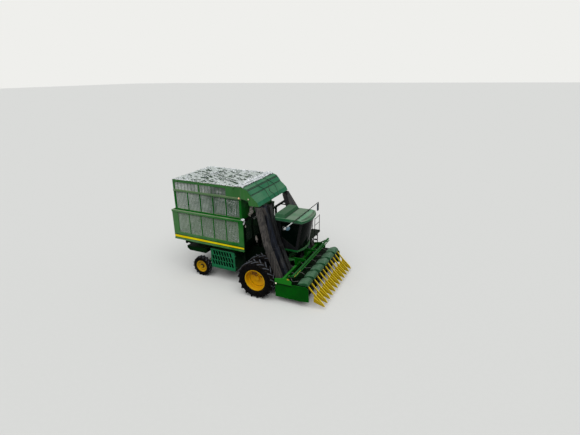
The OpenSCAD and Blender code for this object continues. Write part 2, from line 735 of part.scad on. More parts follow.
// Cross bar over the roof with a mirror at each end
module mirror_bar() at_axle() color(black) {
    bar_r = 20;
    x = 1560;
    z = 3860;
    bar_along_y(bar_r, x, z, -2200, 2000);
    both_sides() block([x - 20, x + 20], [560, 600], [roof_z, z]);
    // Round mirror on the right, tall mirror on the left
    translate([x - 90, -2200, z]) rotate([0, 90, 0]) cylinder(r = 105, h = 50);
    block([x - 60, x], [-2210, -2190], [z - 12, z + 12]);
    translate([x, 1980, z - 480]) cylinder(r = 15, h = 480);
    block([x - 40, x], [1890, 2070], [z - 470, z - 80]);
}

// Basket posts: two cross beams on the rails with the tipping ears on the left

tip_y = 1500;
tip_z = floor_z - 70;
tip_pin_r = 30;
tip_ear_r = 58;
tip_x = [-1300, -4900];
post_beam = 120;
tip_ear_t = 40;
tip_base = [430, 1420];
tip_eye = [0, 3000];
tip_cyl_x = [front_x + tip_off, rear_x - tip_off];

module basket_posts() at_axle() color(leaf) {
    beam_top = 1810;
    for (x = tip_x) {
        both_sides() block([x - post_beam / 2, x + post_beam / 2], [rail_y - 50, rail_y + 50],
                           [rail_top, beam_top - post_beam + 1]);
        block([x - post_beam / 2, x + post_beam / 2], [-1520, 1555], [beam_top - post_beam, beam_top]);
        block([x - 50, x + 50], [-1520, -1400], [beam_top - 1, floor_z - seat_gap]);
        for (s = [-1, 1]) difference() {
            union() {
                translate([x + s * 65 - tip_ear_t / 2, 0, 0])
                    bar_along_x(tip_ear_r, tip_y, tip_z, 0, tip_ear_t);
                block([x + s * 65 - tip_ear_t / 2, x + s * 65 + tip_ear_t / 2],
                      [tip_y - tip_ear_r, tip_y + 55], [beam_top - 40, tip_z]);
            }
            bar_along_x(tip_pin_r + pin_fit, tip_y, tip_z, x - 200, x + 200);
        }
    }
    // Clevis blocks under the tipping cylinders
    for (x = tip_cyl_x) {
        block([x - 50, x + 50], [tip_base[0] - 60, tip_base[0] + 60], [rail_top, tip_base[1] - 70]);
        for (s = [-1, 1]) difference() {
            block([x + s * 40 - 10, x + s * 40 + 10], [tip_base[0] - 40, tip_base[0] + 40],
                  [tip_base[1] - 71, tip_base[1] + 40]);
            bar_along_x(25 + pin_fit, tip_base[0], tip_base[1], x - 100, x + 100);
        }
    }
}

// Fan that blows the ducts, in its scroll housing behind the cab
module air_fan() at_axle() {
    fan = [-440, 1700];
    scroll_r = 330;
    wide = 240;
    color(deep) difference() {
        union() {
            bar_along_y(scroll_r, fan[0], fan[1], -wide, wide);
            block([fan[0], fan[0] + 620], [-wide, wide], [fan[1] - scroll_r, fan[1] - scroll_r + 250]);
        }
        for (s = [-1, 1]) bar_along_y(190, fan[0], fan[1], s * wide - 60, s * wide + 60);
    }
    color(steel) for (s = [-1, 1]) bar_along_y(70, fan[0], fan[1], s * (wide - 30) - 31, s * (wide - 30) + 31);
    color(leaf) both_sides() block([fan[0] - 60, fan[0] + 60], [wide - 80, rail_in + 60],
                                   [rail_top, fan[1] - scroll_r + 40]);
}

// Basket

in_y = lower_y - wall_t;
top_x = [rear_x + rear_inset, front_x - wall_t - 50];
top_t = 40;
top_low_z = lower_top - 250;

// A wall frame drawn in u and v: a sheet with windows, and thin bars across each window
module window_wall(u, v, window, n, t, bars) {
    bay = (window[1] - window[0] - (n - 1) * post_w) / n;
    height = window[3] - window[2];
    bar_t = 12;
    linear_extrude(t) difference() {
        square([u, v]);
        for (i = [0:n - 1]) translate([window[0] + i * (bay + post_w), window[2]]) square([bay, height]);
    }
    translate([0, 0, t / 2 - bar_t / 2]) linear_extrude(bar_t)
        for (i = [0:n - 1], j = [1:bars])
            translate([window[0] + i * (bay + post_w) + j * bay / (bars + 1) - grille_w / 2, window[2] - 1])
                square([grille_w, height + 2]);
}

module basket_floor() at_axle() color(deep) {
    floor_t = 50;
    joist_y = 900;
    joist_h = 90;
    difference() {
        union() {
            block([rear_x + wall_t, front_x - wall_t], [-in_y, in_y], [floor_z, floor_z + floor_t]);
            for (x = tip_x) {
                block([x - 42, x + 42], [tip_y - 55, tip_y + 55], [tip_z, floor_z + 1]);
                bar_along_x(55, tip_y, tip_z, x - 42, x + 42);
            }
        }
        bar_along_x(tip_pin_r + pin_fit, tip_y, tip_z, rear_x, front_x);
    }
    for (x = tip_x) bar_along_x(tip_pin_r, tip_y, tip_z, x - 110, x + 110);
    // Joists under the floor
    for (y = [-joist_y, joist_y])
        block([rear_x + wall_t, front_x - wall_t], [y - 40, y + 40], [floor_z - joist_h, floor_z + 1]);
    for (i = [1:3]) {
        x = tip_x[0] + i * (tip_x[1] - tip_x[0]) / 4;
        block([x - 40, x + 40], [-1450, tip_y - 120], [floor_z - 0.7 * joist_h, floor_z + 1]);
    }
}

module lower_side() color(leaf) {
    long = front_x - rear_x;
    translate([rear_x, -in_y, floor_z]) rotate([90, 0, 0])
        window_wall(long, lower_h, [380, long - 280, 440, lower_h - 120], bays, wall_t, grille_bars);
    // Rolled rail along the top and the lip along the bottom
    block([rear_x, front_x], [-lower_y - 40, -lower_y + 1], [lower_top - 100, lower_top]);
    block([rear_x, front_x], [-lower_y - 16, -lower_y + 1], [floor_z, floor_z + 60]);
}

module basket_right() at_axle() lower_side();
module basket_left() at_axle() mirror([0, 1, 0]) lower_side();

module lower_end(x0, boss_x) color(leaf) {
    translate([x0, -in_y, floor_z]) rotate([90, 0, 90])
        window_wall(2 * in_y, lower_h, [200, 2 * in_y - 200, 440, lower_h - 120], 4, wall_t, grille_bars);
    bar_along_x(55, tip_eye[0], tip_eye[1], boss_x[0], boss_x[1]);
}

module basket_front_wall() at_axle() lower_end(front_x - wall_t, [front_x - 1, front_x + tip_off - 30]);
module basket_rear_wall() at_axle() lower_end(rear_x, [rear_x - tip_off + 30, rear_x + 1]);

// A side of the raised top: five windows, a rail, then two long windows and a plain plate at the front
module top_side() color(leaf) {
    long = top_x[1] - top_x[0];
    high = top_z - top_low_z;
    rail_v = upper_rail_z - top_low_z;
    plate_u = long - 830;
    translate([top_x[0], -upper_y + top_t, top_low_z]) rotate([90, 0, 0]) difference() {
        window_wall(long, high, [130, long - 130, 330, rail_v - 50], bays, top_t, grille_bars);
        for (w = [[110, plate_u / 2 - 40], [plate_u / 2 + 40, plate_u - 40]])
            translate([w[0], rail_v + 60, -1]) cube([w[1] - w[0], top_strip_h - 150, top_t + 2]);
    }
    for (i = [1:14])
        block([top_x[0] + 110 + i * (plate_u - 150) / 15 - 6, top_x[0] + 110 + i * (plate_u - 150) / 15 + 6],
              [-upper_y + 12, -upper_y + 26], [upper_rail_z + 59, top_z - 89]);
    block([top_x[0], top_x[1]], [-upper_y - 25, -upper_y + 1], [upper_rail_z - 40, upper_rail_z + 40]);
    // Shoes that carry the top inside the lower walls
    for (x = [top_x[0] + 10, top_x[1] - 190])
        block([x, x + 180], [-in_y + seat_gap, -upper_y + 1], [top_low_z, top_low_z + 120]);
}

module top_right() at_axle() {
    top_side();
    // Brackets and pins of the roof's hinges
    color(leaf) for (x = lid_hinge_x) {
        block([x, x + 30], [lid_hinge[0] - 18, -upper_y + 1], [top_z - 60, top_z - 1]);
        block([x, x + 30], [lid_hinge[0] - 18, lid_hinge[0] + 18], [top_z - 2, lid_hinge[1]]);
        bar_along_x(18, lid_hinge[0], lid_hinge[1], x, x + 30);
        bar_along_x(8, lid_hinge[0], lid_hinge[1], x + 29, x + 88);
    }
}
module top_left() at_axle() mirror([0, 1, 0]) top_side();

module top_front_wall() at_axle() color(leaf)
    block([top_x[1] - top_t, top_x[1]], [-upper_y + top_t, upper_y - top_t], [top_low_z, hood_outline[0][1]]);

module top_rear_wall() at_axle() color(leaf) {
    wide = 2 * (upper_y - top_t);
    translate([top_x[0], -upper_y + top_t, top_low_z]) rotate([90, 0, 90])
        window_wall(wide, top_z - top_low_z, [120, wide - 120, 330, top_z - top_low_z - 120], 4, top_t, grille_bars);
}

// Outline moved inwards by d; the points run anticlockwise
function unit(v) = v / norm(v);
function inset(pts, d) =
    [for (i = [0:len(pts) - 1])
        let (n = len(pts), a = pts[(i + n - 1) % n], b = pts[i], c = pts[(i + 1) % n],
             u = unit(b - a), v = unit(c - b), nu = [-u[1], u[0]], nv = [-v[1], v[0]])
        b + d * (nu + nv) / (1 + nu * nv)];

// Hood that turns the ducts' flow back into the basket
hood_outline = [[top_x[1], upper_rail_z + 20], [-720, upper_rail_z - 40], [-650, upper_rail_z - 280],
                [-110, upper_rail_z - 270], [-200, upper_rail_z - 80], [-550, upper_rail_z + 220],
                [-730, upper_rail_z + 470], [top_x[1], upper_rail_z + 630]];

module hood() at_axle() color(leaf) {
    skin = 16;
    inner = inset(hood_outline, skin);
    difference() {
        side_plate(hood_outline, -upper_y, 2 * upper_y);
        side_plate(inner, -upper_y + skin, 2 * (upper_y - skin));
        // Open underneath for the ducts and open behind to the basket
        block([inner[2][0] + 10, inner[3][0] - 40], [-upper_y + skin, upper_y - skin],
              [upper_rail_z - 300, upper_rail_z - 200]);
        block([top_x[1] - 20, inner[0][0] + 1], [-upper_y + skin, upper_y - skin], [inner[0][1], inner[7][1] - 40]);
    }
    // Raised seams across the sloping panels
    for (p = [[-920, 553], [-730, 472], [-640, 347], [-550, 222], [-375, 72], [-200, -78]])
        bar_along_y(12, p[0], upper_rail_z + p[1], -upper_y, upper_y);
}

// Roof frame with its mesh, hinged along the right edge
lid_hinge = [-upper_y - 24, top_z + 6];

module roof_lid() at_axle() {
    lid_t = 36;
    long = top_x[1] - 12 - top_x[0];
    wide = 2 * upper_y;
    translate([top_x[0], -upper_y, top_z + seat_gap]) color(leaf) {
        linear_extrude(lid_t) difference() {
            square([long, wide]);
            for (i = [0:4], j = [0:1])
                translate([60 + i * (long - 60) / 5, 60 + j * (wide - 60) / 2])
                    square([(long - 60) / 5 - 60, (wide - 60) / 2 - 60]);
        }
        for (j = [1:23]) block([50, long - 50], [j * wide / 24 - 5, j * wide / 24 + 5], [12, 24]);
    }
    color(leaf) for (x = lid_hinge_x) difference() {
        union() {
            bar_along_x(18, lid_hinge[0], lid_hinge[1], x + 30.3, x + 90);
            block([x + 30.3, x + 90], [lid_hinge[0], -upper_y + 20], [lid_hinge[1], top_z + lid_t]);
        }
        bar_along_x(8 + pin_fit, lid_hinge[0], lid_hinge[1], x, x + 120);
    }
}

lid_hinge_x = [top_x[0] + 300, (top_x[0] + top_x[1]) / 2 - 60, top_x[1] - 420];

// Cylinders: a barrel and a rod drawn along +Z from the barrel's pin, then turned to their line

barrel_end = 150;
rod_r = 28;
tip_len = norm(tip_eye - tip_base);
tip_turn = -atan2(tip_eye[0] - tip_base[0], tip_eye[1] - tip_base[1]);
lift_len = norm(lift_eye - lift_base);
lift_turn = atan2(lift_eye[0] - lift_base[0], lift_eye[1] - lift_base[1]);

module barrel(r, rod, length, foot) {
    difference() {
        union() {
            translate([0, 0, foot]) cylinder(r = r, h = length - foot);
            cylinder(r = 0.42 * r, h = foot + 1);
        }
        translate([0, 0, foot + 20]) cylinder(r = rod + pin_fit, h = length);
    }
}

module tip_barrels() at_axle() color(black)
    for (x = tip_cyl_x) translate([x, tip_base[0], tip_base[1]]) rotate([tip_turn, 0, 0]) {
        difference() {
            union() {
                barrel(tip_barrel_r, rod_r, tip_len - barrel_end, 70);
                bar_along_x(38, 0, 0, -28, 28);
            }
            bar_along_x(25 + pin_fit, 0, 0, -30, 30);
        }
        bar_along_x(25, 0, 0, -52, 52);
    }

module tip_rods() at_axle() color(steel)
    for (i = [0, 1]) translate([tip_cyl_x[i], tip_base[0], tip_base[1]]) rotate([tip_turn, 0, 0]) {
        wall_side = i == 0 ? -1 : 1;
        pin_end = 30 - seat_gap;
        translate([0, 0, 100]) cylinder(r = rod_r, h = tip_len - 101);
        translate([0, 0, tip_len]) bar_along_x(46, 0, 0, -16, 16);
        translate([0, 0, tip_len]) bar_along_x(28, 0, 0, min(0, wall_side * pin_end), max(0, wall_side * pin_end));
    }

module lift_barrels() at_axle() color(black) both_sides()
    translate([lift_base[0], lift_cyl_y, lift_base[1]]) rotate([0, lift_turn, 0]) difference() {
        union() {
            barrel(lift_barrel_r, rod_r, lift_len - barrel_end, 60);
            bar_along_y(42, 0, 0, -20, 20);
        }
        bar_along_y(lift_base_pin_r + pin_fit, 0, 0, -30, 30);
    }

module lift_rods() at_axle() color(steel) both_sides()
    translate([lift_base[0], lift_cyl_y, lift_base[1]]) rotate([0, lift_turn, 0]) {
        translate([0, 0, 90]) cylinder(r = rod_r, h = lift_len - 91);
        translate([0, 0, lift_len]) bar_along_y(40, 0, 0, -20, 20);
        translate([0, 0, lift_len]) bar_along_y(24, 0, 0, 0, lift_arm_y - lift_cyl_y - lift_boss - seat_gap);
    }

lift_boss = 30;

// Ducts: three on each side of the cab, each with a fixed upper part and a sliding lower part

// Columns: place across at the foot, place ahead at the top, place across at the top
ducts = [[1060, 60, 1000], [1500, -70, 1245], [2050, -200, 1485]];
bend_x = duct_foot_x - (duct_bend - duct_foot_z) * tan(duct_lean);
joint_z = 2450;
stub_z = 2260;
sleeve_d = duct_d + 2 * (duct_fit + duct_t);
sleeve_w = duct_w + 2 * (duct_fit + duct_t);

// A straight duct between level ends a and b, each [x, y, z], d deep and w wide
module slant(a, b, d, w) {
    far = 4000;
    intersection() {
        side_plate([[a[0] - d / 2, a[2]], [a[0] + d / 2, a[2]], [b[0] + d / 2, b[2]], [b[0] - d / 2, b[2]]],
                   -far, 2 * far);
        cross_plate([[a[1] - w / 2, a[2]], [a[1] + w / 2, a[2]], [b[1] + w / 2, b[2]], [b[1] - w / 2, b[2]]],
                    -far, 2 * far);
    }
}

// Point on the lower duct's axis at height z
function duct_at(y, z) = [duct_foot_x - (z - duct_foot_z) * tan(duct_lean), y, z];

module upper_ducts() at_axle() color(black) both_sides() for (t = ducts) {
    top = [t[1], t[2], duct_top];
    bend = duct_at(t[0], duct_bend);
    foot = duct_at(t[0], stub_z);
    difference() {
        union() {
            slant(bend, top, duct_d, duct_w);
            slant(foot, bend, duct_d, duct_w);
        }
        slant(bend, top + [0, 0, 0.01], duct_d - 2 * duct_t, duct_w - 2 * duct_t);
        slant(foot, bend, duct_d - 2 * duct_t, duct_w - 2 * duct_t);
    }
}

module lower_ducts() at_axle() color(black) both_sides() for (t = ducts) {
    foot = duct_at(t[0], duct_foot_z);
    mouth = duct_at(t[0], joint_z);
    lip = duct_at(t[0], joint_z - 50);
    difference() {
        union() {
            slant(foot, mouth, sleeve_d, sleeve_w);
            slant(lip, mouth, sleeve_d + 24, sleeve_w + 24);
        }
        slant(foot, lip, duct_d + 2 * duct_fit, duct_w + 2 * duct_fit);
        slant(lip, mouth, duct_d + 2 * seat_gap, duct_w + 2 * seat_gap);
    }
}

// Frame behind the cab that holds the upper ducts
module duct_stand() at_axle() color(deep) {
    stand_x = [-300, -210];
    bar_top = 3900;
    hold_z = bar_top - 90;
    hold_t = 30;
    both_sides() {
        block(stand_x, [rail_y - 45, rail_y + 45], [rail_top, bar_top - 89]);
        for (t = ducts) {
            share = (duct_top - hold_z - hold_t) / (duct_top - duct_bend);
            x = t[1] + share * (bend_x - t[1]) - duct_d / 2;
            y = t[2] + share * (t[0] - t[2]);
            block([stand_x[0] + 10, x - seat_gap], [y - 50, y + 50], [hold_z, hold_z + hold_t]);
        }
    }
    block(stand_x, [-1700, 1700], [bar_top - 90, bar_top]);
}

// Header

unit_gap = 62;
arm_outline = [[pivot_x - 60, pivot_z + 30], [pivot_x + 10, pivot_z - 68], [700, 1130], [980, 1370], [1250, 1480],
               [1900, bar_z - 50], [1940, bar_z + 50], [1250, 1640], [900, 1520], [560, 1230]];

module header_frame() at_axle() {
    hanger_z = [unit_z1, unit_z1 + 130];
    beam_x = [1330, 1450];
    reach = panel_y;
    end_outline = [[1030, 250], [2400, 270], [2810, 330], [2770, 1000], [2640, 1100], [1910, 1060], [1910, 1220],
                   [1650, 1350], [1040, 1180]];
    cap_outline = [[1030, 1000], [1900, 1040], [1900, 1210], [1640, 1360], [1020, 1240]];
    color(leaf) {
        both_sides() {
            difference() {
                union() {
                    side_plate(arm_outline, lift_arm_y, lift_arm_t);
                    bar_along_y(70, pivot_x, pivot_z, lift_arm_y - 15, lift_arm_y + lift_arm_t + 15);
                    bar_along_y(50, lift_eye[0], lift_eye[1], lift_arm_y - lift_boss, lift_arm_y + 1);
                }
                bar_along_y(lift_pin_r + pin_fit, pivot_x, pivot_z, 500, 800);
            }
            bar_along_y(lift_pin_r, pivot_x, pivot_z, ear_y0 - 4, 2 * lift_arm_y + lift_arm_t - ear_y0 + 4);
            side_plate([[beam_x[0] + 10, hanger_z[1] - 1], [beam_x[1] - 10, hanger_z[1] - 1],
                        [beam_x[1] + 40, 1520], [beam_x[0] - 40, 1500]],
                       lift_arm_y, lift_arm_t);
            side_plate(end_outline, panel_y, 14);
            side_plate(cap_outline, panel_y + 13, 26);
            block(beam_x, [reach - 60, reach + 1], hanger_z);
            // Upright between the beam and the bar's end
            side_plate([[beam_x[0], hanger_z[1] - 1], [beam_x[1], hanger_z[1] - 1], [bar_x + 40, bar_z - 20],
                        [bar_x - 40, bar_z + 20]], reach - 50, 30);
        }
        block(beam_x, [-reach, reach], hanger_z);
        bar_along_y(bar_d / 2, bar_x, bar_z, -reach - 120, reach + 120);
        bar_along_y(24, bar_x + 96, bar_z - 40, -reach, reach);
        for (y = [-2100:700:2100])
            block([bar_x + 20, bar_x + 100], [y - 15, y + 15], [bar_z - 60, bar_z - 20]);
    }
}

// Elbows that lead from the rear of each row unit up to the foot of its duct
module duct_ports() at_axle() color(black) both_sides() for (i = [0:2]) {
    row_y = (i + 0.5) * row_gap;
    foot = duct_at(ducts[i][0], duct_foot_z - seat_gap);
    difference() {
        port(row_y, foot, 0);
        port(row_y, foot, 10);
    }
}

// Outside of an elbow, or with a wall thickness of t its inside, open at both ends
module port(row_y, foot, t) hull() {
    open = t > 0 ? 1 : 0;
    block([1060 + t, unit_x0 + open], [row_y + throat_y + 15 + t, row_y + 330 - t], [560 + t, 960 - t]);
    block([foot[0] - duct_d / 2 + 6 + t, foot[0] + 60 - t],
          [foot[1] - duct_w / 2 + t, foot[1] + duct_w / 2 - t], [foot[2] - 40, foot[2] + open]);
}

row_half = (row_gap - unit_gap) / 2;
drum_r = 120;
drum_x = [1700, 2280];

// A drum of spindle bars between its end plates
module spindle_drum(h) {
    bar = 22;
    bars = 10;
    cylinder(r = 46, h = h);
    for (z = [0, h - 16]) translate([0, 0, z]) cylinder(r = drum_r, h = 16);
    for (i = [0:bars - 1]) rotate([0, 0, i * 360 / bars])
        block([drum_r - 12 - bar, drum_r - 12], [-bar / 2, bar / 2], [1, h - 1]);
}

// One row unit: a cabinet on each side of the throat with its drums and pressure plates
module row_unit(y) at_axle() translate([0, y, 0]) {
    cabinet = [[unit_x0, unit_z0 + 60], [unit_x0 + 60, unit_z0], [unit_x1 - 160, unit_z0],
               [unit_x1, unit_z0 + 220], [unit_x1, unit_z1], [unit_x0, unit_z1]];
    shell = 14;
    plate_long = 360;
    color(leaf) both_sides() difference() {
        side_plate(cabinet, throat_y, row_half - throat_y);
        side_plate(inset(cabinet, shell), throat_y - 1, row_half - throat_y - shell + 1);
    }
    color(steel) for (x = drum_x) {
        translate([x, row_half - shell - drum_r - 12, unit_z0 + shell - 1])
            spindle_drum(unit_z1 - unit_z0 - 2 * shell + 2);
        // Pressure plate across from the drum
        block([x - plate_long / 2, x + plate_long / 2], [-throat_y - 30, -throat_y - 20],
              [unit_z0 + shell - 1, unit_z1 - shell + 1]);
    }
    color(deep) block([unit_x0 + 320, unit_x1], [-throat_y - 1, throat_y + 1], [unit_z1 - 30, unit_z1]);
}

// Humped covers over the fronts of the row units, open underneath
module row_covers() at_axle() color(deep) for (i = [1:6]) translate([unit_x1 + 20 - cover_long, row_at(i), unit_z1])
    difference() {
        cover(0);
        cover(12);
    }

// Outside of a cover, or with a wall thickness of t its inside
module cover(t) {
    // Columns: place along the cover and height, both as shares of its size
    profile = [[0, 0], [1, 0], [1.01, 0.42], [0.93, 0.84], [0.8, 1], [0.62, 0.98], [0.28, 0.66], [0.06, 0.4]];
    outline = [for (p = profile) [p[0] * cover_long, p[1] * cover_h]];
    low = [for (p = outline) [p[0], 0.62 * p[1]]];
    wide = row_half - 70 - t;
    crown = 0.55 * wide;
    foot = t > 0 ? [[t, -1], [cover_long - t, -1]] : [[0, 0], [cover_long, 0]];
    inner = t > 0 ? inset(outline, t) : outline;
    inner_low = t > 0 ? inset(low, t) : low;
    hull() {
        side_plate(concat(foot, [for (i = [2:len(profile) - 1]) inner[i]]), -crown, 2 * crown);
        side_plate(concat(foot, [for (i = [2:len(profile) - 1]) inner_low[i]]), -wide, 2 * wide);
    }
}

// A divider: a bent top strip over a shield that narrows to the tip
module divider() {
    long = tip_reach - unit_x1;
    // Columns: share of the divider's length and height of a corner
    strip = [[0, 1072], [0, 1000], [0.36, 640], [0.83, 250], [0.985, 150], [1, 170], [0.88, 330], [0.39, 720]];
    shield = [[0.34, 650], [0.33, 300], [0.8, 190], [0.97, 155], [0.76, 400]];
    tip = [0.9 * long, 0.98 * long];
    side_plate([for (p = strip) [p[0] * long, p[1]]], -22, 44);
    side_plate([for (p = shield) [p[0] * long, p[1]]], -9, 18);
    // Rounded sides of the shield, wide behind and narrow at the tip
    hull() {
        block([0.34 * long, 0.36 * long], [-52, 52], [310, 560]);
        block(tip, [-14, 14], [155, 190]);
    }
}

module dividers() at_axle() color("#e6c619") for (i = [1:6], s = [-1, 1])
    translate([unit_x1, row_at(i) + s * prong_y, 0]) divider();

function row_at(i) = (3.5 - i) * row_gap;
module row_1() row_unit(row_at(1));
module row_2() row_unit(row_at(2));
module row_3() row_unit(row_at(3));
module row_4() row_unit(row_at(4));
module row_5() row_unit(row_at(5));
module row_6() row_unit(row_at(6));

chassis();
front_axle();
rear_axle();
engine();
engine_housing();
screen_door();
side_tank();
rear_boxes();
platform();
ladder();
cab_floor();
cab_frame();
cab_roof();
cab_glass();
cab_door();
cab_seat();
mirror_bar();
basket_posts();
duct_stand();
air_fan();
outer_tyre_right();
inner_tyre_right();
drive_rims_right();
outer_tyre_left();
inner_tyre_left();
drive_rims_left();
knuckle_right();
steer_tyre_right();
steer_rim_right();
knuckle_left();
steer_tyre_left();
steer_rim_left();
basket_floor();
basket_right();
basket_left();
basket_front_wall();
basket_rear_wall();
top_right();
top_left();
top_front_wall();
top_rear_wall();
hood();
roof_lid();
tip_barrels();
tip_rods();
upper_ducts();
lower_ducts();
header_frame();
duct_ports();
row_1();
row_2();
row_3();
row_4();
row_5();
row_6();
row_covers();
dividers();
door_glass();
lift_barrels();
lift_rods();
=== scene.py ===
# Cotton harvester: finishes, screens, lint, seat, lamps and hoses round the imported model.
import math
import random
import bpy
import bmesh
from mathutils import Matrix, Vector, bvhtree, noise


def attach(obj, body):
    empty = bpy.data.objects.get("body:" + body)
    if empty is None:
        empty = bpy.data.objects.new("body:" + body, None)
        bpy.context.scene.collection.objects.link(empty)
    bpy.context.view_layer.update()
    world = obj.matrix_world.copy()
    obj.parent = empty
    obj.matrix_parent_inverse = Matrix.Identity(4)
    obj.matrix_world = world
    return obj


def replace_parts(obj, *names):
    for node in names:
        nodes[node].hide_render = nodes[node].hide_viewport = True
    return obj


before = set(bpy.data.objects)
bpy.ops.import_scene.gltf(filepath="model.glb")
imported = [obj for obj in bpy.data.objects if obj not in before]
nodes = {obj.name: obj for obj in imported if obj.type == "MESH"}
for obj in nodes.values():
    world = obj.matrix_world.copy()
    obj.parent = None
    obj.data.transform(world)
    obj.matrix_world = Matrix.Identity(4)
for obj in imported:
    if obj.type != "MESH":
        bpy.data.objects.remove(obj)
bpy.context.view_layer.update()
scene = bpy.context.scene
axleX = 1.055  # front axle ahead of the origin, in metres
print("frame loaded:", len(nodes), "nodes")


def at(x, y, z):
    # a place given from the front axle, in metres
    return Vector((x + axleX, y, z))


# helpers for shaders

def linear(hexColour):
    # sRGB hex to the linear values that Blender's sockets take
    channels = [int(hexColour[i:i + 2], 16) / 255 for i in (1, 3, 5)]
    return tuple(c / 12.92 if c <= 0.04045 else ((c + 0.055) / 1.055) ** 2.4 for c in channels) + (1,)


def addNode(tree, kind, settings=None, links=None):
    node = tree.nodes.new(kind)
    for key, value in (settings or {}).items():
        if isinstance(key, int) or key in node.inputs:
            node.inputs[key].default_value = value
        else:
            setattr(node, key, value)
    return feed(tree, node, links or {})


def feed(tree, node, sources):
    # each source is a socket to link, a hex colour or a plain value
    for key, source in sources.items():
        if hasattr(source, "links"):
            tree.links.new(source, node.inputs[key])
        else:
            node.inputs[key].default_value = linear(source) if isinstance(source, str) else source
    return node


def startMaterial(name, settings):
    material = bpy.data.materials.new(name)
    material.use_nodes = True
    tree = material.node_tree
    tree.nodes.clear()
    shader = addNode(tree, "ShaderNodeBsdfPrincipled", settings)
    addNode(tree, "ShaderNodeOutputMaterial", links={"Surface": shader.outputs["BSDF"]})
    return material, tree, shader, addNode(tree, "ShaderNodeTexCoord").outputs["Object"]


def addPattern(tree, coords, scale, detail=3, stretch=(1, 1, 1)):
    # noise on Object coordinates; scale is in features per metre
    mapping = addNode(tree, "ShaderNodeMapping", {"Scale": stretch}, {"Vector": coords})
    noiseNode = addNode(tree, "ShaderNodeTexNoise", {"Scale": scale, "Detail": detail}, {"Vector": mapping.outputs[0]})
    return noiseNode.outputs[0]


def addBand(tree, value, low, high, outLow=0.0, outHigh=1.0):
    band = addNode(tree, "ShaderNodeMapRange", {"interpolation_type": "SMOOTHSTEP", "From Min": low, "From Max": high,
                                                "To Min": outLow, "To Max": outHigh}, {"Value": value})
    return band.outputs[0]


def addMix(tree, factor, colourA, colourB):
    mix = addNode(tree, "ShaderNodeMix", {"data_type": "RGBA"}, {0: factor, 6: colourA, 7: colourB})
    return mix.outputs[2]


def addMath(tree, operation, a, b=0):
    return addNode(tree, "ShaderNodeMath", {"operation": operation}, {0: a, 1: b}).outputs[0]


def multiply(tree, a, b):
    return addMath(tree, "MULTIPLY", a, b)


def addXyz(tree, source):
    return addNode(tree, "ShaderNodeSeparateXYZ", links={"Vector": source}).outputs


def addBump(tree, height, strength, distance, links=None):
    return addNode(tree, "ShaderNodeBump", {"Strength": strength, "Distance": distance},
                   {"Height": height} | (links or {})).outputs[0]


def addEdges(tree, radius, outHigh=1.0):
    # rises where a rounded normal turns away from the real one, along edges
    rounded = addNode(tree, "ShaderNodeBevel", {"samples": 4, "Radius": radius}).outputs[0]
    facing = addNode(tree, "ShaderNodeVectorMath", {"operation": "DOT_PRODUCT"},
                     {0: rounded, 1: addNode(tree, "ShaderNodeNewGeometry").outputs["Normal"]})
    return addBand(tree, facing.outputs["Value"], 0.995, 0.8, 0, outHigh)


def addReach(tree, coords, centre):
    # distance from an axle that runs across
    offset = addNode(tree, "ShaderNodeVectorMath", {"operation": "SUBTRACT", 1: centre}, {0: coords}).outputs[0]
    flat = addNode(tree, "ShaderNodeVectorMath", {"operation": "MULTIPLY", 1: (1, 0, 1)}, {0: offset}).outputs[0]
    return addNode(tree, "ShaderNodeVectorMath", {"operation": "LENGTH"}, {0: flat}).outputs["Value"]


def addBoxMask(tree, coords, low, high):
    # 1 inside the box, 0 outside
    place = addXyz(tree, coords)
    mask = 1.0
    for axis, a, b in zip("XYZ", low, high):
        mask = multiply(tree, mask, addMath(tree, "GREATER_THAN", place[axis], a))
        mask = multiply(tree, mask, addMath(tree, "LESS_THAN", place[axis], b))
    return mask


